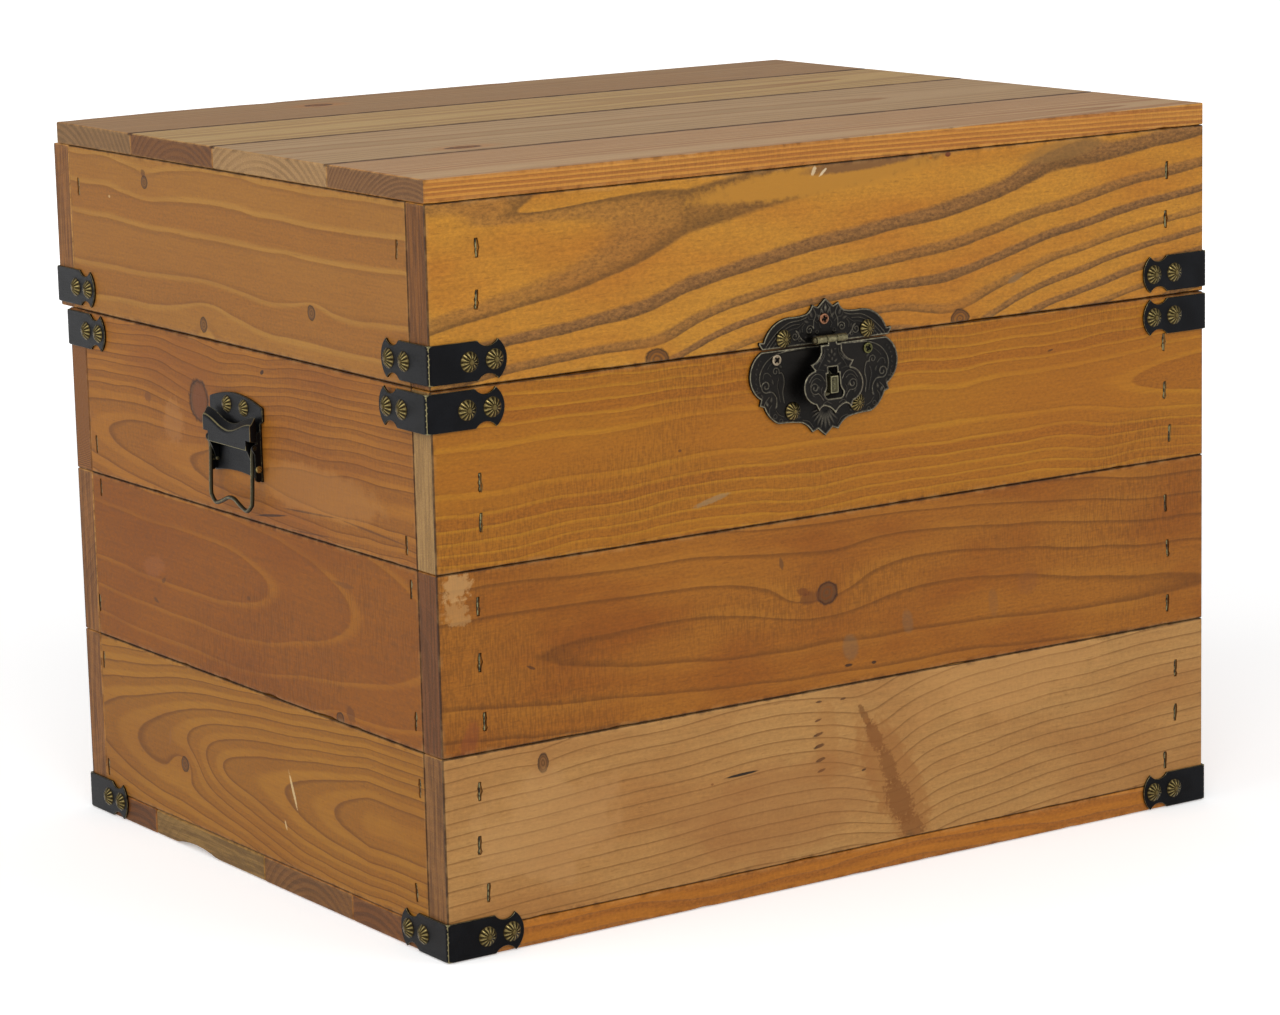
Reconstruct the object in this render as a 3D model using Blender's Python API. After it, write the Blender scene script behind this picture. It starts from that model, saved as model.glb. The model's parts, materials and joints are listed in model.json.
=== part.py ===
"""Lidded wooden box: a body and a lid of sawn boards round hidden corner posts,
twelve nailed corner brackets, a scalloped clasp and a toggle-lever drop handle on each side.

Metres, +Z up. The front faces -Y. The origin is the centre of the body's underside.
Fittings are modelled against a wall whose outside faces -Y, then turned to their own wall.
"""

import math

import bpy
import bmesh
from mathutils import Matrix, Vector

# Body and lid
BODY_WIDTH = 0.504
BODY_DEPTH = 0.392
WALL = 0.018
BASE_THICKNESS = 0.014
COURSE_HEIGHTS = (0.0915, 0.094, 0.0925)
LID_GAP = 0.0005
LID_WALL_HEIGHT = 0.0925
TOP_THICKNESS = 0.012
LID_BACK_OVERHANG = 0.010
BASE_BOARD_WIDTHS = (0.0955, 0.0941, 0.1247)
TOP_BOARD_WIDTHS = (0.0940, 0.1204, 0.0932)
TOP_BOARD_PROUD = (0.0, 0.0003, 0.0012, 0.0009)
SEAM = 0.0003
BOARD_EDGE = 0.0009
POST_SIZE = 0.024
POST_BELOW_RIM = 0.007
BLOCK_ABOVE_RIM = 0.008
TOP_WANE_LENGTH = 0.065
TOP_WANE_DEPTH = 0.005
BASE_WANE_LENGTH = 0.050
BASE_WANE_DEPTH = 0.0032
BASE_WANE_FROM_SEAM = 0.022

# Sheet metal that is nailed on
FIT = 0.0003
SHEET = 0.0012

# Dome nails
NAIL_RADIUS = 0.0053
FITTING_NAIL_RADIUS = 0.0048
NAIL_HEIGHT = 0.0027
NAIL_SINK = 0.0005
NAIL_SIDES = 12

# Corner brackets
BRACKET_HEIGHT = 0.020
BRACKET_LEG = 0.0458
BRACKET_BEND = 0.0006
BRACKET_NAILS = (0.0222, 0.0369)
NOTCH_WIDTH = 0.012
NOTCH_DEPTH = 0.0031
HORN_SETBACK = 0.005
BRACKET_RIM_GAP = 0.0025
BODY_BRACKET_RIM_GAP = 0.0009
PROUD_BRACKET = "rim_bracket_front_left"
PROUD_BRACKET_SHIFT = 0.0022
FLOOR_GAP = 0.0002

# Clasp on the front
CLASP_X = -0.012
CLASP_GRID = 0.001
UPPER_PLATE_ASIDE = 0.0011
PLATE = 0.0016
UPPER_PLATE_DROP = 0.0010
PLATE_GAP = 0.0010
CLASP_UPPER_NAILS = (27.2, 4.6)
CLASP_LOWER_NAILS = (21.0, -33.0)
CLASP_AXIS_OUT = 0.0058
CLASP_AXIS_UP = 0.0014
KNUCKLE_RADIUS = 0.0022
KNUCKLE_LENGTH = 0.0065
KNUCKLE_GAP = 0.0003
PIN_RADIUS = 0.0012
PIN_PLAY = 0.00025
PIN_HEAD = 0.0019
WEB_HEIGHT = 0.0026
TONGUE_THICKNESS = 0.0016
TONGUE_OFFSET = 0.0002
TONGUE_TILT = math.radians(5.0)
TONGUE_NECK = 6.9
TONGUE_NOTCH = 0.0005
STAPLE_WIDTH = 0.0051
STAPLE_HEIGHT = 0.0092
STAPLE_BELOW_AXIS = 0.0236
STAPLE_REACH = 0.0103
STAPLE_FOOT_MARGIN = 0.0022
STAPLE_FOOT = 0.0010

# Hinges on the back
HINGE_FROM_END = 0.102
HINGE_LENGTH = 0.050
HINGE_LEAF_HEIGHT = 0.027
HINGE_KNUCKLE_RADIUS = 0.0025
HINGE_KNUCKLES = 3

# Toggle-lever handles on the sides: heights are above or below the lever's pivot
HANDLE_Y = 0.002
HANDLE_UP = 0.2296
HANDLE_HALF_WIDTH = 0.0287
HANDLE_TOP = 0.0328
HANDLE_ARCH_RISE = 0.0048
HANDLE_SHOULDER = 0.0255
HANDLE_FOOT = 0.0071
HANDLE_FOOT_ARCH = 0.0025
HANDLE_NAIL_BELOW_TOP = 0.0022
HANDLE_NAIL_APART = 0.0092
EAR_INNER = 0.0244
EAR_DEPTH = 0.0048
EAR_CORNER = 0.0010
EAR_TOP = 0.0198
EAR_TOP_DEPTH = 0.0033
BAIL_EYE_MARGIN = 0.0005
PIVOT_OUT = 0.00285
PIVOT_RADIUS = 0.00055
PIVOT_PLAY = 0.0001
EYELET_RADIUS = 0.0019
EYELET_PROUD = 0.0004
EYELET_INNER = 0.0002
ARM_RADIUS = 0.00095
ARM_THICKNESS = 0.0012
ARM_SHIN = 0.0042
TONGUE_HALF_WIDTH = 0.0208
LEVER_BOTTOM = 0.0100
LEVER_SHOULDER = 0.0153
LEVER_FACE_OUT = 0.0068
LEVER_SHEET = 0.0009
LEVER_INSET = 0.00004
LAP = 0.00015
LIP_HALF_WIDTH = 0.0258
LIP_END_UP = 0.0237
LIP_MIDDLE_DROP = 0.0060
HOOD_BEND = 0.0012
HOOD_REACH = 0.0032
HOOD_RISE = 0.0034
FLANGE_BOTTOM = 0.0143
FLANGE_BACK = 0.0038
BAIL_WIRE = 0.0011
BAIL_UP = 0.0115
BAIL_OUT = 0.0047
BAIL_HALF_WIDTH = 0.0227
BAIL_DROP = 0.0347
BAIL_FOOT = 0.0155
BAIL_CORNER = 0.0070
BAIL_NOTCH_RISE = 0.0048
BAIL_BEND = 0.0016
BAIL_LEAN = math.radians(2.5)

HALF_WIDTH = BODY_WIDTH / 2
HALF_DEPTH = BODY_DEPTH / 2
BODY_TOP = BASE_THICKNESS + sum(COURSE_HEIGHTS)
LID_BOTTOM = BODY_TOP + LID_GAP
LID_BACK = HALF_DEPTH + LID_BACK_OVERHANG
TOP_BOTTOM = LID_BOTTOM + LID_WALL_HEIGHT
NAIL_FACE = FIT + SHEET


def clear_scene():
    for item in list(bpy.data.objects):
        bpy.data.objects.remove(item, do_unlink=True)


def make_material(name, colour, roughness, metallic=0.0):
    made = bpy.data.materials.new(name)
    made.use_nodes = True
    shader = made.node_tree.nodes["Principled BSDF"]
    shader.inputs["Base Color"].default_value = (*colour, 1.0)
    shader.inputs["Roughness"].default_value = roughness
    shader.inputs["Metallic"].default_value = metallic
    made.diffuse_color = (*colour, 1.0)
    return made


def link_object(name, mesh, look, location=(0, 0, 0), turn=0.0):
    """An object of this mesh, turned about +Z and placed by its location."""
    made = bpy.data.objects.new(name, mesh)
    made.location = location
    made.rotation_euler = (0, 0, turn)
    if look and not mesh.materials:
        mesh.materials.append(look)
    bpy.context.scene.collection.objects.link(made)
    return made


def mesh_from(bm, name, smooth=False):
    bmesh.ops.recalc_face_normals(bm, faces=bm.faces)
    mesh = bpy.data.meshes.new(name)
    bm.to_mesh(mesh)
    bm.free()
    if smooth:
        mesh.shade_smooth()
        mesh.set_sharp_from_angle(angle=math.radians(40))
    return mesh


# Outlines

def arc(start, end, bulge, steps):
    """Points after start up to end, on a circular arc that stands `bulge` left of its chord."""
    a, b = Vector(start), Vector(end)
    chord = b - a
    half = chord.length / 2
    side = Vector((-chord.y, chord.x)).normalized()
    radius = (half * half + bulge * bulge) / (2 * bulge)
    centre = (a + b) / 2 + side * (bulge - radius)
    first = math.atan2(a.y - centre.y, a.x - centre.x)
    sweep = 2 * math.atan2(half, abs(radius) - abs(bulge))
    sweep = -math.copysign(sweep, bulge)
    return [
        (centre.x + abs(radius) * math.cos(first + sweep * i / steps),
         centre.y + abs(radius) * math.sin(first + sweep * i / steps))
        for i in range(1, steps + 1)
    ]


def trace(start, *moves):
    """Points in metres from moves on the clasp's grid: (x, z), or (x, z, bulge, steps) along an arc."""
    points = [(start[0] * CLASP_GRID, start[1] * CLASP_GRID)]
    for x, z, *curved in moves:
        end = (x * CLASP_GRID, z * CLASP_GRID)
        points += arc(points[-1], end, curved[0] * CLASP_GRID, curved[1]) if curved else [end]
    return points


def mirrored(half):
    """A closed outline from its right half, which starts and may end on the middle line."""
    left = [(-x, y) for x, y in reversed(half) if abs(x) > 1e-9]
    return list(half) + left


def circle(radius, sides, centre=(0.0, 0.0), start=0.0):
    return [
        (centre[0] + radius * math.cos(start + math.tau * i / sides),
         centre[1] + radius * math.sin(start + math.tau * i / sides))
        for i in range(sides)
    ]


# Solids

def prism(outline, low, high, frame):
    """A closed solid: `outline` swept from `low` to `high` along the third axis of `frame`."""
    bm = bmesh.new()
    bottom = [bm.verts.new(frame @ Vector((x, y, low))) for x, y in outline]
    top = [bm.verts.new(frame @ Vector((x, y, high))) for x, y in outline]
    bm.faces.new(bottom)
    bm.faces.new(list(reversed(top)))
    for i in range(len(outline)):
        j = (i + 1) % len(outline)
        bm.faces.new((bottom[i], top[i], top[j], bottom[j]))
    return bm


# (x, z, distance outwards): the face of a wall that looks along -Y
ON_WALL = Matrix(((1, 0, 0), (0, 0, -1), (0, 1, 0)))
# (distance outwards, z, x): the side view of a fitting on that wall
FROM_SIDE = Matrix(((0, 0, 1), (-1, 0, 0), (0, 1, 0)))


def plate(outline, low, high):
    return prism(outline, low, high, ON_WALL)


def side_prism(outline, low, high):
    return prism(outline, low, high, FROM_SIDE)


def rod(radius, low, high, out, up, sides=16):
    """A round rod along X."""
    return side_prism(circle(radius, sides, (out, up), math.pi / sides), low, high)


def dome(x, z, face, radius=NAIL_RADIUS, sides=NAIL_SIDES):
    """A dome-headed nail on a plate whose outer face is `face` outwards from the wall."""
    bm = bmesh.new()
    rings = []
    for share, height in ((1.0, -NAIL_SINK), (1.0, 0.25 * NAIL_HEIGHT), (0.62, 0.8 * NAIL_HEIGHT)):
        ring = [
            bm.verts.new(ON_WALL @ Vector((x + px, z + pz, face + height)))
            for px, pz in circle(share * radius, sides)
        ]
        rings.append(ring)
    tip = bm.verts.new(ON_WALL @ Vector((x, z, face + NAIL_HEIGHT)))
    bm.faces.new(rings[0])
    for lower, upper in zip(rings, rings[1:]):
        for i in range(sides):
            j = (i + 1) % sides
            bm.faces.new((lower[i], upper[i], upper[j], lower[j]))
    for i in range(sides):
        bm.faces.new((rings[-1][i], tip, rings[-1][(i + 1) % sides]))
    return bm


def combine(name, base, added=(), removed=(), smooth=False):
    """One mesh: the base joined with each added solid, less each removed one."""
    body = link_object(name, mesh_from(base, name), None)
    tools = []
    for operation, shapes in (("UNION", added), ("DIFFERENCE", removed)):
        for shape in shapes:
            tool = link_object(name + "_tool", mesh_from(shape, name + "_tool"), None)
            change = body.modifiers.new(operation, "BOOLEAN")
            change.operation = operation
            change.solver = "EXACT"
            change.object = tool
            tools.append(tool)
    bpy.context.view_layer.update()
    graph = bpy.context.evaluated_depsgraph_get()
    mesh = bpy.data.meshes.new_from_object(body.evaluated_get(graph))
    mesh.name = name
    for item in (body, *tools):
        bpy.data.objects.remove(item, do_unlink=True)
    mesh.materials.clear()
    if smooth:
        mesh.shade_smooth()
        mesh.set_sharp_from_angle(angle=math.radians(35))
    return mesh


# Boards

def board(name, low, high, look, outline=None, frame=None):
    """A board between two corners. An outline, in metres about its centre, gives it an uneven edge."""
    low, high = Vector(low), Vector(high)
    size, centre = high - low, (low + high) / 2
    if outline:
        thickness = size.z if frame is None else size.x
        bm = prism(outline, -thickness / 2, thickness / 2, frame or Matrix.Identity(3))
    else:
        bm = bmesh.new()
        bmesh.ops.create_cube(bm, size=1.0)
        bmesh.ops.scale(bm, vec=size, verts=bm.verts)
    made = link_object(name, mesh_from(bm, name), look, centre)
    edge = made.modifiers.new("Sawn edge", "BEVEL")
    edge.width = BOARD_EDGE
    edge.segments = 1
    edge.limit_method = "ANGLE"
    edge.angle_limit = math.radians(30)
    return made


def rows(widths, low, high):
    """The low and high edges of boards laid side by side, the last one filling what is left."""
    edges = [low]
    for width in widths:
        edges.append(edges[-1] + width)
    edges.append(high)
    return [(a + (SEAM if i else 0.0), b) for i, (a, b) in enumerate(zip(edges, edges[1:]))]


def add_base(look):
    for i, (y0, y1) in enumerate(rows(BASE_BOARD_WIDTHS, -HALF_DEPTH, HALF_DEPTH)):
        low = (-HALF_WIDTH, y0, 0.0)
        high = (HALF_WIDTH, y1, BASE_THICKNESS)
        board(f"base_board_{i + 1}", low, high, look)
    cut_base_wane(bpy.data.objects["base_board_3"])


def cut_base_wane(target):
    """The hollow left by the bark edge under the left end of the third base board."""
    size = target.data.vertices
    half = Vector((max(v.co.x for v in size), max(v.co.y for v in size), max(v.co.z for v in size)))
    first = half.y - BASE_WANE_FROM_SEAM - BASE_WANE_LENGTH
    last = half.y - BASE_WANE_FROM_SEAM
    curve = arc((first, -half.z), (last, -half.z), BASE_WANE_DEPTH, 6)
    floor = -half.z - BASE_THICKNESS
    outline = [(first, floor), (first, -half.z), *curve, (last, floor)]
    along_x = Matrix(((0, 0, 1), (1, 0, 0), (0, 1, 0)))
    solid = prism(outline, -half.x - BASE_WANE_DEPTH, -half.x + BASE_WANE_LENGTH, along_x)
    cutter = link_object("base_wane_cutter", mesh_from(solid, "base_wane_cutter"), None)
    cutter.location = target.location
    cutter.hide_render = True
    cutter.display_type = "WIRE"
    cut = target.modifiers.new("Wane", "BOOLEAN")
    cut.operation = "DIFFERENCE"
    cut.solver = "EXACT"
    cut.object = cutter


def add_courses(look):
    """Three boards high all round: front and back boards cover the ends of the side boards."""
    z = BASE_THICKNESS
    for level, height in zip(("lower", "middle", "upper"), COURSE_HEIGHTS):
        bottom, top = z + SEAM, z + height
        z = top
        for side, y in (("front", -HALF_DEPTH), ("back", HALF_DEPTH - WALL)):
            board(f"{side}_board_{level}", (-HALF_WIDTH, y, bottom), (HALF_WIDTH, y + WALL, top), look)
        inner = HALF_DEPTH - WALL - SEAM
        for side, x in (("left", -HALF_WIDTH), ("right", HALF_WIDTH - WALL)):
            board(f"{side}_board_{level}", (x, -inner, bottom), (x + WALL, inner, top), look)


def add_corner_timbers(prefix, low, high, y_front, y_back, look):
    """The square timbers inside the four corners, to which the boards are stapled."""
    inset = WALL + SEAM
    for side, x in (("left", -HALF_WIDTH + inset), ("right", HALF_WIDTH - inset - POST_SIZE)):
        for end, y in (("front", y_front + inset), ("back", y_back - inset - POST_SIZE)):
            board(f"{prefix}_{end}_{side}", (x, y, low), (x + POST_SIZE, y + POST_SIZE, high), look)


def add_lid_boards(look):
    low, high = LID_BOTTOM, TOP_BOTTOM - SEAM
    board("lid_board_front", (-HALF_WIDTH, -HALF_DEPTH, low), (HALF_WIDTH, -HALF_DEPTH + WALL, high), look)
    board("lid_board_back", (-HALF_WIDTH, LID_BACK - WALL, low), (HALF_WIDTH, LID_BACK, high), look)
    y0, y1 = -HALF_DEPTH + WALL + SEAM, LID_BACK - WALL - SEAM
    for side, x in (("left", -HALF_WIDTH), ("right", HALF_WIDTH - WALL)):
        board(f"lid_board_{side}", (x, y0, low), (x + WALL, y1, high), look)
    spans = rows(TOP_BOARD_WIDTHS, -HALF_DEPTH, LID_BACK)
    for i, ((y0, y1), proud) in enumerate(zip(spans, TOP_BOARD_PROUD)):
        corner_low = (-HALF_WIDTH, y0, TOP_BOTTOM)
        corner_high = (HALF_WIDTH + proud, y1, TOP_BOTTOM + TOP_THICKNESS)
        outline = waney_top_outline(corner_low, corner_high) if i == len(spans) - 1 else None
        board(f"lid_top_board_{i + 1}", corner_low, corner_high, look, outline)


def waney_top_outline(low, high):
    """The rearmost top board, seen from above, with its bark edge at the back left corner."""
    half_x, half_y = (high[0] - low[0]) / 2, (high[1] - low[1]) / 2
    start = (-half_x + TOP_WANE_LENGTH, half_y)
    end = (-half_x, half_y - TOP_WANE_DEPTH)
    wane = arc(start, end, TOP_WANE_DEPTH * 0.18, 5)
    return [(half_x, -half_y), (half_x, half_y), start, *wane, (-half_x, -half_y)]


# Corner brackets

def bracket_half_outline(end):
    """Right half of the flattened strap, from the middle of its top edge to that of its lower edge."""
    height = BRACKET_HEIGHT
    horn, notch = end - HORN_SETBACK, end - HORN_SETBACK - NOTCH_WIDTH
    upper = [(0.0, height), (notch, height)]
    upper += arc((notch, height), (horn, height), -NOTCH_DEPTH, 6)
    tip = arc((horn, height), (horn, 0.0), HORN_SETBACK, 6)
    lower = arc((horn, 0.0), (notch, 0.0), -NOTCH_DEPTH, 6)
    return upper + tip + lower + [(0.0, 0.0)]


def bracket_mesh():
    """A notched strap, folded round a corner of the box whose edge stands at the origin."""
    bend = BRACKET_BEND * math.pi / 4
    end = BRACKET_LEG + BRACKET_BEND * (math.pi / 4 - 1) - SHEET
    half = bracket_half_outline(end)
    outline = half + [(-x, z) for x, z in reversed(half[1:-1])]
    flat = plate(outline, 0.0, SHEET)
    for place in (-bend, -bend / 3, bend / 3, bend):
        geometry = flat.verts[:] + flat.edges[:] + flat.faces[:]
        bmesh.ops.bisect_plane(flat, geom=geometry, plane_co=(place, 0, 0), plane_no=(1, 0, 0), dist=1e-7)
    centre = BRACKET_BEND - FIT
    for vert in flat.verts:
        along, out = vert.co.x, -vert.co.y
        if along > bend:
            vert.co.x, vert.co.y = centre + along - bend, -FIT - out
        elif along < -bend:
            vert.co.x, vert.co.y = -FIT - out, centre - along - bend
        else:
            angle = math.radians(225) + along / bend * math.radians(45)
            vert.co.x = centre + (BRACKET_BEND + out) * math.cos(angle)
            vert.co.y = centre + (BRACKET_BEND + out) * math.sin(angle)
    middle = BRACKET_HEIGHT / 2
    nails = [dome(place, middle, NAIL_FACE) for place in BRACKET_NAILS]
    for place in BRACKET_NAILS:
        nail = dome(-place, middle, NAIL_FACE)
        bmesh.ops.rotate(nail, cent=(0, 0, 0), matrix=Matrix.Rotation(-math.pi / 2, 3, "Z"), verts=nail.verts)
        nails.append(nail)
    return combine("corner_bracket", flat, added=nails, smooth=True)


def add_brackets(look):
    mesh = bracket_mesh()
    tiers = (
        ("bottom_bracket", FLOOR_GAP, HALF_DEPTH),
        ("rim_bracket", BODY_TOP - BODY_BRACKET_RIM_GAP - BRACKET_HEIGHT, HALF_DEPTH),
        ("lid_bracket", LID_BOTTOM + BRACKET_RIM_GAP, LID_BACK),
    )
    for prefix, z, back in tiers:
        corners = (
            ("front_left", -HALF_WIDTH, -HALF_DEPTH, 0),
            ("front_right", HALF_WIDTH, -HALF_DEPTH, 90),
            ("back_right", HALF_WIDTH, back, 180),
            ("back_left", -HALF_WIDTH, back, 270),
        )
        for corner, x, y, turn in corners:
            made = link_object(f"{prefix}_{corner}", mesh, look, (x, y, z), math.radians(turn))
            if made.name == PROUD_BRACKET:
                made.location.x -= PROUD_BRACKET_SHIFT


# Clasp

def upper_plate_outline():
    """The lid's plate about its straight lower edge, from the tip of its crown."""
    return mirrored(trace(
        (0.0, 23.3), (5.0, 19.0), (8.6, 20.6), (12.5, 16.1, -0.7, 3), (22.0, 15.4, -0.3, 2),
        (40.0, 3.8, 3.6, 7), (42.8, 4.2), (43.2, 3.0), (41.0, 0.0),
    ))


def lower_plate_outline():
    """The body's plate about its straight upper edge."""
    return mirrored(trace(
        (40.5, 0.0), (41.2, -25.0, 7.4, 10), (42.3, -28.2), (39.2, -29.3), (30.0, -38.9, 1.4, 4),
        (15.2, -40.1, -0.4, 2), (8.5, -45.8, -0.8, 3), (4.7, -44.4), (0.0, -48.4),
    ))


def tongue_outline():
    """The tongue about its hinge: a tab to its knuckle, then a neck, two lobes and three tips."""
    tab = KNUCKLE_LENGTH / 2 - KNUCKLE_GAP
    clear = KNUCKLE_RADIUS + TONGUE_NOTCH
    aside = UPPER_PLATE_ASIDE
    half = trace(
        (TONGUE_NECK, -6.5), (14.2, -12.2, -1.3, 4), (11.6, -15.6), (12.2, -33.4, 7.4, 10),
        (10.3, -37.2), (6.6, -34.6, -0.8, 3), (0.0, -39.3, -0.9, 4),
    )
    neck = TONGUE_NECK * CLASP_GRID
    lower = mirrored([(neck, -clear), *half])
    left, right = aside - tab, aside + tab
    top = [(left, -clear), (left, -TONGUE_NOTCH), (right, -TONGUE_NOTCH), (right, -clear)]
    return shifted(lower + top, dx=-aside)


def keyhole_outline():
    """The tongue's hole for the staple: a square notch, a slot and a wide arch below it."""
    return mirrored(trace(
        (2.9, -14.7), (2.9, -18.1), (4.1, -18.1), (4.1, -24.0), (5.7, -27.6, -0.3, 2), (4.0, -31.0, 0.9, 3),
    ))


def shifted(outline, dx=0.0, dz=0.0):
    return [(x + dx, z + dz) for x, z in outline]


def clasp_axis():
    """The tongue's hinge line: how far out of the front, and its height."""
    return CLASP_AXIS_OUT, LID_BOTTOM + CLASP_AXIS_UP


def add_clasp(bronze, brass):
    out, up = clasp_axis()
    front = (CLASP_X, -HALF_DEPTH, 0.0)
    face = FIT + PLATE
    lower_edge = LID_BOTTOM - UPPER_PLATE_DROP
    end = 1.5 * KNUCKLE_LENGTH
    half_gap = KNUCKLE_GAP / 2
    nail_x, nail_up = (CLASP_GRID * size for size in CLASP_UPPER_NAILS)
    web_outline = [(FIT, up - WEB_HEIGHT / 2), (out, up - WEB_HEIGHT / 2), (out, up + WEB_HEIGHT / 2),
                   (FIT, up + WEB_HEIGHT / 2)]
    middle = KNUCKLE_LENGTH / 2
    upper = combine(
        "clasp_upper_plate",
        plate(shifted(upper_plate_outline(), dz=lower_edge), FIT, face),
        added=[
            side_prism(web_outline, -end, end),
            rod(KNUCKLE_RADIUS, -end, -middle - half_gap, out, up),
            rod(KNUCKLE_RADIUS, middle + half_gap, end, out, up),
            dome(-nail_x, lower_edge + nail_up, face, FITTING_NAIL_RADIUS),
            dome(nail_x, lower_edge + nail_up, face, FITTING_NAIL_RADIUS),
        ],
        removed=[
            rod(KNUCKLE_RADIUS + 0.0004, -middle - half_gap, middle + half_gap, out, up),
            rod(PIN_RADIUS + PIN_PLAY, -2 * end, 2 * end, out, up),
        ],
        smooth=True,
    )
    upper_front = (CLASP_X + UPPER_PLATE_ASIDE, -HALF_DEPTH, 0.0)
    link_object("clasp_upper_plate", upper, bronze, upper_front)
    lower_top = lower_edge - PLATE_GAP
    nail_x, nail_up = (CLASP_GRID * size for size in CLASP_LOWER_NAILS)
    lower = combine(
        "clasp_lower_plate",
        plate(shifted(lower_plate_outline(), dz=lower_top), FIT, face),
        added=[dome(side * nail_x, lower_top + nail_up, face, FITTING_NAIL_RADIUS) for side in (-1, 1)],
        smooth=True,
    )
    link_object("clasp_lower_plate", lower, bronze, front)
    add_tongue(bronze, upper_front)
    add_clasp_pin(brass, upper_front)
    add_staple(brass, front)


def add_tongue(look, front):
    """The tongue's mesh lies about its hinge line, which is also its object's origin."""
    out, up = clasp_axis()
    middle = KNUCKLE_LENGTH / 2 - KNUCKLE_GAP / 2
    mesh = combine(
        "clasp_tongue",
        plate(tongue_outline(), TONGUE_OFFSET, TONGUE_OFFSET + TONGUE_THICKNESS),
        added=[rod(KNUCKLE_RADIUS, -middle, middle, 0.0, 0.0)],
        removed=[
            rod(PIN_RADIUS + PIN_PLAY, -2 * middle, 2 * middle, 0.0, 0.0),
            plate(shifted(keyhole_outline(), dx=-UPPER_PLATE_ASIDE), -0.01, 0.01),
        ],
        smooth=True,
    )
    tongue = link_object("clasp_tongue", mesh, look, (front[0], front[1] - out, up))
    tongue.rotation_euler = (-TONGUE_TILT, 0, 0)


def add_clasp_pin(look, front):
    """The hinge pin, with its domed head at the left."""
    out, up = clasp_axis()
    end = 1.5 * KNUCKLE_LENGTH
    head = end + FIT
    mesh = combine(
        "clasp_pin",
        rod(PIN_RADIUS, -head - 0.0005, end, out, up),
        added=[turned_head(PIN_HEAD, -head, out, up)],
        smooth=True,
    )
    link_object("clasp_pin", mesh, look, front)


def turned_head(radius, x, out, up, sides=12):
    """A rounded head whose flat side stands at `x` and whose crown points along -X."""
    bm = bmesh.new()
    profile = ((1.0, 0.0), (1.0, 0.35), (0.72, 0.75))
    rings = []
    for share, height in profile:
        ring = circle(share * radius, sides, (out, up), math.pi / sides)
        rings.append([bm.verts.new(FROM_SIDE @ Vector((a, b, x - height * radius))) for a, b in ring])
    tip = bm.verts.new(FROM_SIDE @ Vector((out, up, x - radius)))
    bm.faces.new(rings[0])
    for lower, upper in zip(rings, rings[1:]):
        for i in range(sides):
            j = (i + 1) % sides
            bm.faces.new((lower[i], upper[i], upper[j], lower[j]))
    for i in range(sides):
        bm.faces.new((rings[-1][i], tip, rings[-1][(i + 1) % sides]))
    return bm


def add_staple(look, front):
    """The post that the tongue drops over, on a foot riveted to the lower plate."""
    _, up = clasp_axis()
    middle = up - STAPLE_BELOW_AXIS
    foot = FIT + PLATE + FIT
    half_x, half_z = STAPLE_WIDTH / 2, STAPLE_HEIGHT / 2
    post = [(half_x, middle - half_z), (half_x, middle + half_z), (-half_x, middle + half_z),
            (-half_x, middle - half_z)]
    wide_x, wide_z = half_x + STAPLE_FOOT_MARGIN, half_z + STAPLE_FOOT_MARGIN
    flange = mirrored([(0.0, middle + wide_z), *arc((0.0, middle + wide_z), (wide_x, middle), 0.0008, 3),
                       *arc((wide_x, middle), (0.0, middle - wide_z), 0.0008, 3)])
    mesh = combine("clasp_staple", plate(flange, foot, foot + STAPLE_FOOT),
                   added=[plate(post, foot, STAPLE_REACH)])
    link_object("clasp_staple", mesh, look, front)


# Hinges

def hinge_axis():
    """The lid's hinge line: its distance behind the body's back face, and its height."""
    return FIT + HINGE_KNUCKLE_RADIUS, LID_BOTTOM - FIT - HINGE_KNUCKLE_RADIUS


def add_hinges(look):
    """Butt hinges under the lid's overhang: a flat leaf on the body and a cranked one on the lid."""
    out, up = hinge_axis()
    half = HINGE_LENGTH / 2
    step = HINGE_LENGTH / HINGE_KNUCKLES
    half_gap = KNUCKLE_GAP / 2
    clear = up - HINGE_KNUCKLE_RADIUS - FIT
    leaf = mirrored([(0.0, clear), (step / 2 + half_gap, clear), (step / 2 + half_gap, up), (half, up),
                     (half, up - HINGE_LEAF_HEIGHT), (0.0, up - HINGE_LEAF_HEIGHT)])
    body_leaf = combine(
        "body_hinge_leaf",
        plate(leaf, FIT, FIT + SHEET),
        added=[
            rod(HINGE_KNUCKLE_RADIUS, -half, -step / 2 - half_gap, out, up),
            rod(HINGE_KNUCKLE_RADIUS, step / 2 + half_gap, half, out, up),
            rod(PIN_RADIUS, -half, half, out, up, 12),
        ],
        smooth=True,
    )
    lid_out = LID_BACK_OVERHANG + FIT
    under = LID_BOTTOM - FIT
    start = out + HINGE_KNUCKLE_RADIUS + FIT
    crank = [(start, under), (start, under - SHEET), (lid_out + SHEET, under - SHEET),
             (lid_out + SHEET, up + HINGE_LEAF_HEIGHT), (lid_out, up + HINGE_LEAF_HEIGHT), (lid_out, under)]
    tab = [(out, under), (out, under - SHEET), (start + SHEET, under - SHEET), (start + SHEET, under)]
    middle = step / 2 - half_gap
    lid_leaf = combine(
        "lid_hinge_leaf",
        side_prism(crank, -half, half),
        added=[side_prism(tab, -middle, middle), rod(HINGE_KNUCKLE_RADIUS, -middle, middle, out, up)],
        removed=[rod(PIN_RADIUS + PIN_PLAY, -half, half, out, up, 12)],
        smooth=True,
    )
    hinge_x = HALF_WIDTH - HINGE_FROM_END
    for side, x in (("left", -hinge_x), ("right", hinge_x)):
        place = (x, HALF_DEPTH, 0.0)
        link_object(f"body_hinge_leaf_{side}", body_leaf, look, place, math.pi)
        link_object(f"lid_hinge_leaf_{side}", lid_leaf, look, place, math.pi)


# Handles

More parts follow.
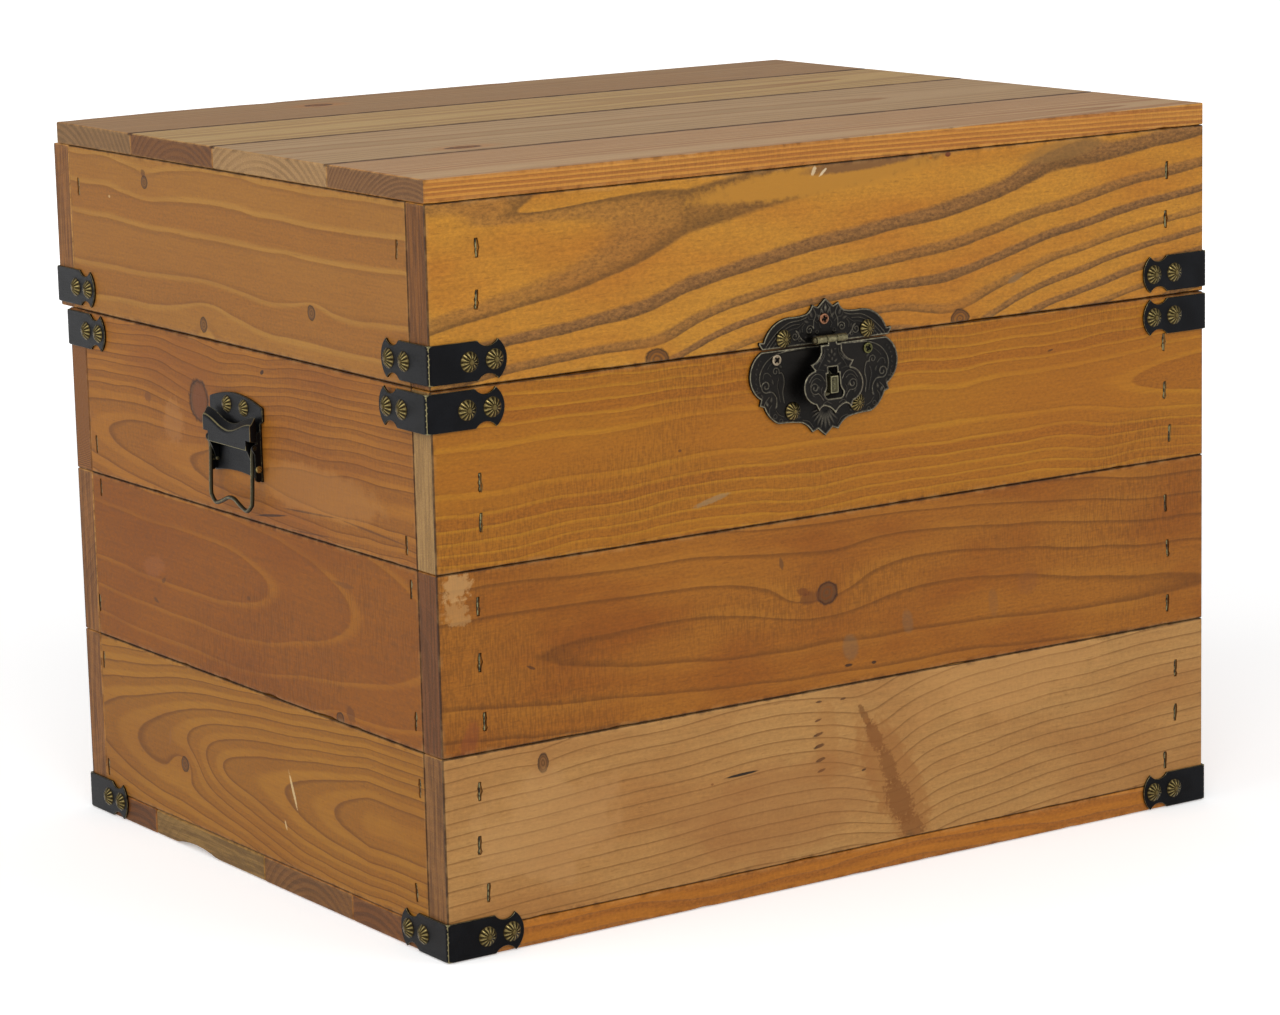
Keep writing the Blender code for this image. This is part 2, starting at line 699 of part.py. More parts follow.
def ear_outline():
    """An ear from the side: round below, deeper where the bail's eye is, and stepped back under the lever."""
    eye = BAIL_WIRE + PIN_PLAY + BAIL_EYE_MARGIN
    step, deep = BAIL_UP + eye, BAIL_OUT + eye
    round_end = -HANDLE_FOOT + EAR_DEPTH / 2
    outline = [(FIT, EAR_TOP), (FIT, round_end)]
    outline += arc((FIT, round_end), (EAR_DEPTH, round_end), -(EAR_DEPTH - FIT) / 2.1, 8)
    outline += [(EAR_DEPTH, BAIL_UP - 2 * eye), (deep, BAIL_UP - eye / 2)]
    outline += [(deep, step - EAR_CORNER), (deep - EAR_CORNER, step), (EAR_TOP_DEPTH, step)]
    outline += [(EAR_TOP_DEPTH, EAR_TOP - EAR_CORNER), (EAR_TOP_DEPTH - EAR_CORNER, EAR_TOP)]
    return outline


def handle_plate_mesh():
    """Backplate with an arched top and two nails, and ears at its sides that carry the lever's pivots."""
    width, outer = HANDLE_HALF_WIDTH, EAR_INNER + SHEET
    crown, foot = HANDLE_TOP + HANDLE_ARCH_RISE, -HANDLE_FOOT
    half = [(0.0, crown), *arc((0.0, crown), (width, HANDLE_TOP), 0.0010, 5)]
    half += [(width, HANDLE_SHOULDER), (outer, HANDLE_SHOULDER - (width - outer) / 2), (outer, foot)]
    half += [(EAR_INNER, foot), *arc((EAR_INNER, foot), (0.0, foot + HANDLE_FOOT_ARCH), -0.0006, 4)]
    added = []
    for side in (-1, 1):
        added.append(side_prism(ear_outline(), side * EAR_INNER, side * outer))
        eyelet = (side * (EAR_INNER - EYELET_INNER), side * (outer + EYELET_PROUD))
        added.append(rod(EYELET_RADIUS, *eyelet, PIVOT_OUT, 0.0))
        stub = (side * (BAIL_HALF_WIDTH - BAIL_WIRE), side * outer)
        added.append(rod(PIVOT_RADIUS, *stub, PIVOT_OUT, 0.0, 8))
        nail_up = HANDLE_TOP - HANDLE_NAIL_BELOW_TOP
        added.append(dome(side * HANDLE_NAIL_APART, nail_up, NAIL_FACE, FITTING_NAIL_RADIUS))
    eye = rod(BAIL_WIRE + PIN_PLAY, -2 * outer, 2 * outer, BAIL_OUT, BAIL_UP, 12)
    return combine("handle_plate", plate(mirrored(half), FIT, NAIL_FACE), added, [eye], smooth=True)


def hood_path(share):
    """The lever's inner side in (out, up) at a share of its half width: tongue, fold and sloping hood."""
    up = LIP_END_UP - LIP_MIDDLE_DROP * math.cos(share * math.pi / 2) ** 2
    face, bend = LEVER_FACE_OUT, HOOD_BEND
    return [
        (face, LEVER_BOTTOM),
        (face, LEVER_SHOULDER),
        (face, up - bend),
        (face - 0.3 * bend, up - 0.2 * bend),
        (face - bend, up + 0.4 * bend),
        (face - HOOD_REACH, up + HOOD_RISE),
    ]


def thickened(path, distance):
    """The path moved outwards by a sheet's thickness."""
    moved = []
    for i, (out, up) in enumerate(path):
        before, after = path[max(i - 1, 0)], path[min(i + 1, len(path) - 1)]
        along = Vector((after[0] - before[0], after[1] - before[1])).normalized()
        moved.append((out + along.y * distance, up - along.x * distance))
    return moved


def lever_sheet():
    """The pressed sheet of the lever: a flat tongue below, and a wavy fold with a hood above it."""
    columns = 12
    step = TONGUE_HALF_WIDTH / LIP_HALF_WIDTH
    shares = [-1.0] + [step * (2 * i / (columns - 2) - 1) for i in range(columns - 1)] + [1.0]
    bm = bmesh.new()
    partner = {}
    grid = []
    for share in shares:
        x = share * LIP_HALF_WIDTH
        path = hood_path(share)
        column = [bm.verts.new(ON_WALL @ Vector((x, up, out))) for out, up in path]
        for vert, (out, up) in zip(column, thickened(path, LEVER_SHEET)):
            partner[vert] = bm.verts.new(ON_WALL @ Vector((x, up, out)))
        grid.append(column)
    for i, (left, right) in enumerate(zip(grid, grid[1:])):
        # The tongue leaves out the outermost column on each side
        first = 1 if i in (0, len(grid) - 2) else 0
        for j in range(first, len(left) - 1):
            corners = (left[j], right[j], right[j + 1], left[j + 1])
            bm.faces.new(corners)
            bm.faces.new([partner[vert] for vert in reversed(corners)])
    for edge in [edge for edge in bm.edges if len(edge.link_faces) == 1]:
        near, far = edge.verts
        if near in partner and far in partner:
            bm.faces.new((near, far, partner[far], partner[near]))
    bmesh.ops.delete(bm, geom=[v for v in bm.verts if not v.link_faces], context="VERTS")
    bmesh.ops.triangulate(bm, faces=bm.faces)
    return bm


def lever_mesh():
    """The lever about its pivot: sheet, side flanges, and two arms with bosses that turn on the stubs."""
    middle = thickened(hood_path(1.0), LEVER_SHEET / 2)
    top_back = (FLANGE_BACK, middle[-1][1] - LEVER_SHEET)
    foot = [(FLANGE_BACK, FLANGE_BOTTOM), (middle[1][0], FLANGE_BOTTOM + LEVER_SHEET)]
    flange = [*foot, *middle[2:-1], top_back]
    back, toe = PIVOT_OUT - ARM_RADIUS, ARM_RADIUS - LAP
    arm = [(middle[0][0], LEVER_BOTTOM + LAP), (middle[0][0], FLANGE_BOTTOM), (PIVOT_OUT, FLANGE_BOTTOM)]
    arm += [(back, FLANGE_BOTTOM - ARM_RADIUS), (back, ARM_RADIUS), (PIVOT_OUT - toe, LAP)]
    arm += [(PIVOT_OUT + toe, LAP), (PIVOT_OUT + 2 * ARM_RADIUS, ARM_SHIN)]
    added = []
    for side in (-1, 1):
        edge = LIP_HALF_WIDTH - LEVER_INSET
        added.append(side_prism(flange, side * (edge - LEVER_SHEET), side * edge))
        edge = TONGUE_HALF_WIDTH - LEVER_INSET
        inside = edge - ARM_THICKNESS
        added.append(side_prism(arm, side * inside, side * edge))
        boss = (side * (inside - LAP), side * (EAR_INNER - EYELET_INNER - FIT))
        added.append(rod(ARM_RADIUS + LEVER_INSET, *boss, PIVOT_OUT, 0.0))
    hole = rod(PIVOT_RADIUS + PIVOT_PLAY, -EAR_INNER, EAR_INNER, PIVOT_OUT, 0.0, 8)
    mesh = combine("handle_lever", lever_sheet(), added, [hole], smooth=True)
    mesh.transform(Matrix.Translation((0, PIVOT_OUT, 0)))
    return mesh


def smooth_through(points, steps):
    """Points on a smooth curve through the given ones (Catmull-Rom)."""
    padded = [points[0] * 2 - points[1], *points, points[-1] * 2 - points[-2]]
    curve = []
    for p0, p1, p2, p3 in zip(padded, padded[1:], padded[2:], padded[3:]):
        for i in range(steps):
            t = i / steps
            curve.append(0.5 * ((2 * p1) + (p2 - p0) * t + (2 * p0 - 5 * p1 + 4 * p2 - p3) * t * t
                                + (3 * p1 - p0 - 3 * p2 + p3) * t ** 3))
    curve.append(points[-1])
    return curve


def bail_route():
    """Half of the wire's centre line about its own hinge: stub in the ear, leg, foot, middle notch."""
    stub = EAR_INNER + SHEET - 0.0001
    width, foot, drop = BAIL_HALF_WIDTH, BAIL_FOOT, -BAIL_DROP
    elbow = [
        Vector((width + BAIL_BEND * (1 - math.sin(a)), -BAIL_BEND * (1 - math.cos(a))))
        for a in (0.0, math.pi / 6, math.pi / 3)
    ]
    leg = [
        Vector((width, -1.3 * BAIL_BEND)),
        Vector((width, drop + BAIL_CORNER)),
        Vector((0.8 * width + 0.2 * foot, drop + 0.40 * BAIL_CORNER)),
        Vector((0.4 * width + 0.6 * foot, drop + 0.06 * BAIL_CORNER)),
        Vector((foot, drop)),
        Vector((0.6 * foot, drop + 0.42 * BAIL_NOTCH_RISE)),
        Vector((0.25 * foot, drop + 0.88 * BAIL_NOTCH_RISE)),
        Vector((0.0, drop + BAIL_NOTCH_RISE)),
    ]
    return [Vector((stub, 0.0)), *elbow, *smooth_through(leg, 3)]


def bail_curve():
    """The wire as a bevelled curve: its legs hang from the ears and its foot is pressed into an M."""
    half = bail_route()
    path = [Vector((x, 0.0, z)) for x, z in half]
    path += [Vector((-x, 0.0, z)) for x, z in reversed(half[:-1])]
    data = bpy.data.curves.new("handle_bail", "CURVE")
    data.dimensions = "3D"
    data.bevel_depth = BAIL_WIRE
    data.bevel_resolution = 2
    data.use_fill_caps = True
    spline = data.splines.new("POLY")
    spline.points.add(len(path) - 1)
    for point, place in zip(spline.points, path):
        point.co = (*place, 1.0)
    return data


def add_handles(bronze, brass):
    plate_mesh, lever, bail = handle_plate_mesh(), lever_mesh(), bail_curve()
    bail.materials.append(brass)
    for side, x, turn in (("left", -HALF_WIDTH, -math.pi / 2), ("right", HALF_WIDTH, math.pi / 2)):
        place = Vector((x, HANDLE_Y, HANDLE_UP))
        away = Vector((math.copysign(1.0, x), 0.0, 0.0))
        link_object(f"handle_plate_{side}", plate_mesh, bronze, place, turn)
        link_object(f"handle_lever_{side}", lever, bronze, place + away * PIVOT_OUT, turn)
        wire = bpy.data.objects.new(f"handle_bail_{side}", bail)
        wire.location = place + away * BAIL_OUT + Vector((0, 0, BAIL_UP))
        wire.rotation_euler = (Matrix.Rotation(turn, 3, "Z") @ Matrix.Rotation(-BAIL_LEAN, 3, "X")).to_euler()
        bpy.context.scene.collection.objects.link(wire)


def build():
    clear_scene()
    body_wood = make_material("stained softwood, body", (0.42, 0.20, 0.07), 0.55)
    lid_wood = make_material("stained softwood, lid", (0.52, 0.28, 0.09), 0.52)
    post_wood = make_material("raw softwood posts", (0.55, 0.38, 0.20), 0.7)
    bronze = make_material("blackened bronze sheet", (0.035, 0.032, 0.030), 0.38, 1.0)
    brass = make_material("antique brass", (0.30, 0.24, 0.12), 0.35, 1.0)
    add_base(body_wood)
    add_courses(body_wood)
    add_corner_timbers("corner_post", BASE_THICKNESS + SEAM, BODY_TOP - POST_BELOW_RIM,
                       -HALF_DEPTH, HALF_DEPTH, post_wood)
    add_lid_boards(lid_wood)
    add_corner_timbers("lid_block", LID_BOTTOM + BLOCK_ABOVE_RIM, TOP_BOTTOM - SEAM,
                       -HALF_DEPTH, LID_BACK, post_wood)
    add_brackets(bronze)
    add_clasp(bronze, brass)
    add_hinges(bronze)
    add_handles(bronze, brass)


build()
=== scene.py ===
import json
from math import atan2, cos, degrees, hypot, pi, radians, sin, sqrt, tau

import bmesh
import bpy
import numpy as np
from mathutils import Matrix, Vector, geometry, noise

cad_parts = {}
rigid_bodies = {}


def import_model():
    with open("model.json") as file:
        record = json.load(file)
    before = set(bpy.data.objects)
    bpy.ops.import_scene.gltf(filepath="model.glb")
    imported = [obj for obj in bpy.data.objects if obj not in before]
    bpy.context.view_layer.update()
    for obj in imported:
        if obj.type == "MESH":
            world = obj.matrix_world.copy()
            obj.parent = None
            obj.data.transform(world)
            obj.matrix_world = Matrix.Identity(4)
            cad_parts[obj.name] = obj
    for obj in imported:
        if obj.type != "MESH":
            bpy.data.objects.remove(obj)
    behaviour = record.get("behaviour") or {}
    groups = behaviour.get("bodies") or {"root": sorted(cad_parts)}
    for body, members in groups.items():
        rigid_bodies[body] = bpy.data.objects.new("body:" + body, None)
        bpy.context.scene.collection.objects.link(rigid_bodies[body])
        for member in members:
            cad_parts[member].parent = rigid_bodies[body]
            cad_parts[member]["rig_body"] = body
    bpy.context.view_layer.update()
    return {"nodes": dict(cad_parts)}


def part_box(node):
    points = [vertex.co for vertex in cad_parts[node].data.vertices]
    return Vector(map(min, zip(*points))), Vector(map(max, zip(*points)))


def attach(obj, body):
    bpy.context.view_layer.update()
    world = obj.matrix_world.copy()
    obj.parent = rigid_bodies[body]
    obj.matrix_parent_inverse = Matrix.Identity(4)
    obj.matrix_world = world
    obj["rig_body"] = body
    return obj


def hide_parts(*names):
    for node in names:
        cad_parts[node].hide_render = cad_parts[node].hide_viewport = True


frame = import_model()
scene = bpy.context.scene


class Settings(dict):  # a dictionary whose values are also read as fields
    __getattr__ = dict.__getitem__


def mm(*values):  # millimetres as metres
    return [value / 1000 for value in values]


# Shader helpers

def paint(code):  # a colour as it is seen on screen, such as "c08040"
    shares = [int(code[i:i + 2], 16) / 255 for i in (0, 2, 4)]
    return (*[s / 12.92 if s <= 0.04045 else ((s + 0.055) / 1.055) ** 2.4 for s in shares], 1)


class Wire:
    # a node's output, which is added, subtracted, multiplied and divided like a number
    def __init__(self, web, socket):
        self.web, self.socket = web, socket

    __add__ = lambda self, other: self.web.math("ADD", self, other)
    __radd__ = lambda self, other: self.web.math("ADD", other, self)
    __sub__ = lambda self, other: self.web.math("SUBTRACT", self, other)
    __rsub__ = lambda self, other: self.web.math("SUBTRACT", other, self)
    __mul__ = lambda self, other: self.web.math("MULTIPLY", self, other)
    __rmul__ = lambda self, other: self.web.math("MULTIPLY", other, self)
    __truediv__ = lambda self, other: self.web.math("DIVIDE", self, other)
    __rtruediv__ = lambda self, other: self.web.math("DIVIDE", other, self)


class Web:
    # lays nodes in one tree; a value may be a number, a colour or another node's output
    def __init__(self, tree):
        self.tree = tree
        tree.nodes.clear()

    def node(self, kind, **settings):
        made = self.tree.nodes.new(kind)
        for key, value in settings.items():
            setattr(made, key, value)
        return made

    def join(self, value, socket):
        value = value.socket if isinstance(value, Wire) else value
        if isinstance(value, bpy.types.NodeSocket):
            self.tree.links.new(value, socket)
        else:
            socket.default_value = value

    def made(self, kind, values=(), out=0, **settings):  # a node with its inputs filled, for one output
        node = self.node(kind, **settings)
        for key, value in values.items() if isinstance(values, dict) else enumerate(values):
            self.join(value, node.inputs[key])
        return Wire(self, node.outputs[out])

    def math(self, operation, *values, clamp=False):
        return self.made("ShaderNodeMath", values, operation=operation, use_clamp=clamp)

    def vector(self, operation, *values):
        return self.made("ShaderNodeVectorMath", values, int(operation == "LENGTH"), operation=operation)

    def place(self, *values):
        return self.made("ShaderNodeCombineXYZ", values)

    def parts(self, vector):
        node = self.node("ShaderNodeSeparateXYZ")
        self.join(vector, node.inputs[0])
        return [Wire(self, out) for out in node.outputs]

    def noise(self, vector, scale=1, detail=2, rough=0.5):
        return self.made("ShaderNodeTexNoise", {
            "Vector": vector, "Scale": scale, "Detail": detail, "Roughness": rough})

    def step(self, value, low, high, start=0, end=1):  # a smooth rise from start to end
        values = value, low, high, start, end
        return self.made("ShaderNodeMapRange", values, interpolation_type="SMOOTHSTEP")

    def mix(self, share, low, high, blend="MIX"):
        return self.made("ShaderNodeMix", {0: share, 6: low, 7: high}, 2, data_type="RGBA", blend_type=blend)

    def shade(self, colour, value):  # the colour made lighter or darker by a value near 1
        return self.mix(1, colour, self.made("ShaderNodeCombineColor", [value] * 3), "MULTIPLY")

    def painted(self, name):  # a value kept in the mesh, such as its wear
        return self.made("ShaderNodeAttribute", (), "Fac", attribute_name=name)

    def use(self, group, **values):  # a shader group, with its inputs and outputs by name
        node = self.node("ShaderNodeGroup", node_tree=group)
        for key, value in values.items():
            self.join(value, node.inputs[key])
        return Settings({out.name: Wire(self, out) for out in node.outputs})

    def group(self, **outputs):  # ends a shader group
        for name in outputs:
            self.tree.interface.new_socket(name, in_out="OUTPUT", socket_type="NodeSocketFloat")
        result = self.node("NodeGroupOutput").inputs
        for name, value in outputs.items():
            self.join(value, result[name])
        return self.tree


def shaderGroup(name, **inputs):  # starts a shader group; an input with no number is a vector
    web = Web(bpy.data.node_groups.new(name, "ShaderNodeTree"))
    for label, start in inputs.items():
        kind = "NodeSocketVector" if start is None else "NodeSocketFloat"
        socket = web.tree.interface.new_socket(label, in_out="INPUT", socket_type=kind)
        if start is not None:
            socket.default_value = start
    return web, Settings({out.name: Wire(web, out) for out in web.node("NodeGroupInput").outputs})


def newMaterial(name):
    made = bpy.data.materials.new(name)
    made.use_nodes = True
    web = Web(made.node_tree)
    shader = web.node("ShaderNodeBsdfPrincipled")
    web.join(shader.outputs[0], web.node("ShaderNodeOutputMaterial").inputs[0])
    return made, web, shader.inputs


def addBump(web, shader, height, distance):
    values = {"Strength": 0.5, "Distance": distance, "Height": height}
    web.join(web.made("ShaderNodeBump", values), shader["Normal"])


# Shader groups for wood. Grain is a place along, across and into a board, in metres

def growthRings():
    web, given = shaderGroup(
        "Growth rings", Grain=None, PithAlong=0, PithAcross=0, PithDepth=0.05, Lean=0, Near=0, Far=0,
        Uneven=1, Ring=0.006, Waver=0.006, Share=0.4, Soft=0.6, Push=0, Seed=0)
    along, across, deep = web.parts(given.Grain)
    seed = given.Seed
    swing = (web.noise(web.place(along * 6.5, across * 6, deep * 6 + seed)) - 0.5) * 4
    ripple = web.noise(web.place(along * 26, across * 60, deep * 60 + seed), 1, 3, 0.55) - 0.5
    away = along - given.PithAlong
    side = across - given.PithAcross - away * given.Lean
    side = side + swing * given.Waver + ripple * (given.Waver * 0.5)
    inward = given.PithDepth - deep + web.math("MINIMUM", away, 0) * given.Near
    inward = inward + web.math("MAXIMUM", away, 0) * given.Far
    field = web.math("SQRT", side * side + inward * inward) / given.Ring + given.Push
    field = field + (web.noise(web.place(field * 0.45, seed, 3)) - 0.5) * given.Uneven
    turn, early = web.math("FRACT", field), 1 - given.Share
    rise = web.step(turn, early * given.Soft, early)
    fall = web.step(turn, 0.955, 1, 1, 0)
    number = {"W": web.math("FLOOR", field) + seed}
    tone = web.made("ShaderNodeTexWhiteNoise", number, "Value", noise_dimensions="1D")
    return web.group(Late=rise * fall, Line=web.step(turn, 0.8, 0.955) * fall, Tone=tone)


def knotGroup():
    web, given = shaderGroup("Knot", Grain=None, Along=0, Across=0, Size=0.004, Stretch=1, Swirl=2)
    along, across, _ = web.parts(given.Grain)
    wander = web.noise(given.Grain, 260) - 0.5
    x, y = (along - given.Along) / given.Stretch, across - given.Across
    far = web.math("SQRT", x * x + y * y) / given.Size + wander * 0.45
    spread, flat = x / 1.9 / given.Size, y / given.Size
    reach = web.math("SQRT", spread * spread + flat * flat) / 2.6
    return web.group(
        Push=given.Swirl / (1 + reach * reach), Knot=web.step(far, 0.86, 1.04, 1, 0),
        Rim=web.math("SUBTRACT", 1, web.math("ABSOLUTE", far - 1) / 0.2, clamp=True),
        Heart=0.5 + web.math("SINE", far * 15) * 0.5, Halo=web.step(far, 1, 3.2, 1, 0))


def patchGroup():  # an oval at an angle: a soft bend of the grain, and a ragged mask for a mark
    web, given = shaderGroup(
        "Wood patch", Grain=None, Along=0, Across=0, Long=0.01, Wide=0.005, Tilt=0, Rag=0.3, Fur=300)
    along, across, _ = web.parts(given.Grain)
    x, y = along - given.Along, across - given.Across
    c, s = web.math("COSINE", given.Tilt), web.math("SINE", given.Tilt)
    u, v = (x * c + y * s) / given.Long, (y * c - x * s) / given.Wide
    square = u * u + v * v
    ragged = web.noise(given.Grain, given.Fur, 3, 0.6) - 0.5
    far = web.math("SQRT", square) + ragged * given.Rag
    return web.group(Bend=1 / (1 + square), Mask=web.step(far, 0.72, 1.12, 1, 0))


def fibreGroup():
    web, given = shaderGroup("Wood fibre", Grain=None, Seed=0)
    along, across, deep = web.parts(given.Grain)

    def stretched(lengthwise, crosswise, shift, detail=1, rough=0.5):
        place = web.place(along * lengthwise, across * crosswise, deep * crosswise + (given.Seed + shift))
        return web.noise(place, 1, detail, rough)

    return web.group(
        Fibre=stretched(34, 900, 0, 4, 0.6), Stipple=stretched(460, 760, 5, 2, 0.6),
        Sawn=web.step(stretched(1000, 150, 9), 0.42, 0.62) * web.step(stretched(6, 14, 13), 0.42, 0.62),
        Cloud=stretched(9, 26, 17, 3), Fleck=web.step(stretched(140, 1100, 21, 2), 0.66, 0.74))


rings, knotMarks, patches, fibres = growthRings(), knotGroup(), patchGroup(), fibreGroup()
axesOf = {"front": (0, 2, 1), "side": (1, 2, 0), "flat": (0, 1, 2), "upright": (2, 0, 1)}
# What a board's own dictionary may change. Places and lengths are in millimetres.
# bends: along, across, half length, half width, tilt, amount. knots: along, across, size, stretch, swirl
# marks: along, across, half length, half width, tilt, ragged edge, fur, colour, share
plainWood = Settings(
    early="c98a3e", late="a9703a", line="8a5a2c", stain="b06a24", cloud=0.35, end="8b5a2a",
    endLate="5f3a18", streaks=0.8, top=None, pith=(0, 0, 50), lean=0, near=0, far=0.03, ring=6, uneven=1.2,
    waver=4, share=0.4, soft=0.6, contrast=0.85, lines=0.5, stipple=0.35, sawn=0.2, fibre=0.22, phase=0,
    knots=(), bends=(), marks=(), knotTone="5c3a1a", rough=0.55, seed=1, knotRim="26150b", rubbed="cfa064",
    # the dark colour laid on the rounded edges is painted shade where the boards meet
    rubbing=0.16, dirty="3a2210", dirtying=0.38, staples=())


def woodMaterial(name, facing, outer, outward, changes):
    # outer is where the board's outer side lies on its depth axis, outward which way that side looks
    look = Settings({**plainWood, **changes})
    made, web, shader = newMaterial(name)
    spot = web.node("ShaderNodeTexCoord").outputs
    world, normal = web.parts(spot["Object"]), web.parts(spot["Normal"])
    axes = axesOf[facing]
    deep = (outer - world[axes[2]]) * outward
    grain = web.place(world[axes[0]], world[axes[1]], deep)
    seed = look.seed * 7.31

    def patch(along, across, long, wide, tilt, **edge):
        return web.use(patches, Grain=grain, Along=along / 1000, Across=across / 1000, Long=long / 1000,
                       Wide=wide / 1000, Tilt=radians(tilt), **edge)

    push, marks = look.phase, []
    for *oval, amount in look.bends:  # the grain bends, with no knot
        push = push + patch(*oval).Bend * amount
    for along, across, size, stretch, swirl in look.knots:
        marks.append(web.use(knotMarks, Grain=grain, Along=along / 1000, Across=across / 1000,
                             Size=size / 1000, Stretch=stretch, Swirl=swirl))
        push = push + marks[-1].Push
    pith = mm(*look.pith)
    grown = web.use(rings, Grain=grain, PithAlong=pith[0], PithAcross=pith[1], PithDepth=pith[2],
                    Lean=look.lean, Near=look.near, Far=look.far, Ring=look.ring / 1000, Uneven=look.uneven,
                    Waver=look.waver / 1000, Share=look.share, Soft=look.soft, Push=push, Seed=seed)
    cut = web.use(fibres, Grain=grain, Seed=seed)

    late = grown.Late * (look.contrast * (0.55 + grown.Tone * 0.45))
    ground = web.mix(web.step(cut.Cloud, 0.35, 0.7) * look.cloud, paint(look.early), paint(look.stain))
    colour = web.mix(late, ground, paint(look.late))
    colour = web.mix(grown.Line * look.lines, colour, paint(look.line))
    spread = 1 - look.fibre + cut.Fibre * (2 * look.fibre)
    colour = web.shade(colour, spread)
    colour = web.shade(colour, 1 + (cut.Stipple - 0.5) * (look.stipple * (0.95 + late * 1.3)))
    colour = web.shade(colour, 1 - cut.Sawn * (0.35 * look.sawn))
    colour = web.mix(cut.Fleck * 0.35, colour, paint(look.line))

    # sawn ends show rings or streaks in a darker, speckled wood
    streaks = web.step(web.noise(web.place(world[axes[1]] * 30, deep * 520, seed), 1, 3, 0.6), 0.38, 0.62)
    arcs = grown.Late * web.step(cut.Cloud, 0.2, 0.7, 0.35, 0.8)
    ends = web.mix(arcs * (1 - look.streaks) + streaks * look.streaks, paint(look.end), paint(look.endLate))
    ends = web.shade(ends, 0.55 + web.noise(spot["Object"], 1700, 2, 0.6) * 0.9)
    colour = web.mix(web.step(web.math("ABSOLUTE", normal[axes[0]]), 0.6, 0.9), colour, ends)
    # upward faces of the top boards take a greyer, lighter colour: a painted sheen of the light from above
    if look.top:
        sheenedTop = web.mix(late * 0.65, paint(look.top), paint(look.late))
        sheenedTop = web.mix(grown.Line * 0.6, sheenedTop, paint(look.line))
        sheenedTop = web.shade(sheenedTop, spread * 2 - 1)
        colour = web.mix(web.step(normal[2], 0.6, 0.9) * 0.8, colour, sheenedTop)

    rim = 0
    for mark in marks:
        body = web.mix(mark.Heart, paint(look.knotTone), web.shade(paint(look.stain), 0.62))
        colour = web.mix(mark.Halo * 0.35, colour, paint(look.stain))
        colour = web.mix(mark.Knot, colour, body)
        colour = web.mix(mark.Rim * 0.95, colour, paint(look.knotRim))
        rim = web.math("MAXIMUM", rim, mark.Rim)
    face = web.math("LESS_THAN", deep, 0.0012)  # marks lie on the outer face only
    for *oval, rag, fur, tone, share in look.marks:
        colour = web.mix(patch(*oval, Rag=rag, Fur=fur).Mask * face * share, colour, paint(tone))

    wear = web.painted("wear")
    patchy = web.noise(spot["Object"], 140, 3, 0.6)
    colour = web.mix(wear * web.step(patchy, 0.42, 0.66) * look.rubbing, colour, paint(look.rubbed))
    # the rounded edges are darkened too: painted shade where the boards meet
    colour = web.mix(wear * web.step(patchy, 0.3, 0.5, 1, 0) * look.dirtying, colour, paint(look.dirty))
    web.join(colour, shader["Base Color"])
    web.join(look.rough - 0.08 + cut.Stipple * 0.2, shader["Roughness"])
    web.join(0.22, shader["Specular IOR Level"])
    height = cut.Fibre * 0.5 + cut.Stipple * 0.35 + grown.Line * 0.35 - cut.Sawn * (0.5 * look.sawn)
    addBump(web, shader, height - rim * 0.8, 0.0004)
    return made


def link(name, mesh, material=None):
    made = bpy.data.objects.new(name, mesh)
    scene.collection.objects.link(made)
    if material:
        mesh.materials.append(material)
    return made


def refinish(piece, material):
    piece.data.materials.clear()
    piece.data.materials.append(material)


def meshFrom(bm, mesh, sharp=None):  # fills the mesh, with its faces turned outward
    bmesh.ops.recalc_face_normals(bm, faces=bm.faces)
    bm.to_mesh(mesh)
    bm.free()
    if sharp:
        mesh.shade_smooth()
        mesh.set_sharp_from_angle(angle=radians(sharp))
    return mesh


def belongs(piece, body, node=None):  # what the piece rides on, is made of and stands for
    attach(piece, body)
    if node:
        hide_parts(node)
    return piece


def bodyOf(node):
    return frame["nodes"][node]["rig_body"]


# Boards: each is swept along its grain, with softened, chipped edges and cut slots for its staples

boardShape = Settings(station=0.004, edge=0.0007, inset=0.0026, chip=0.0016, endInset=0.0005, endRim=0.0014)


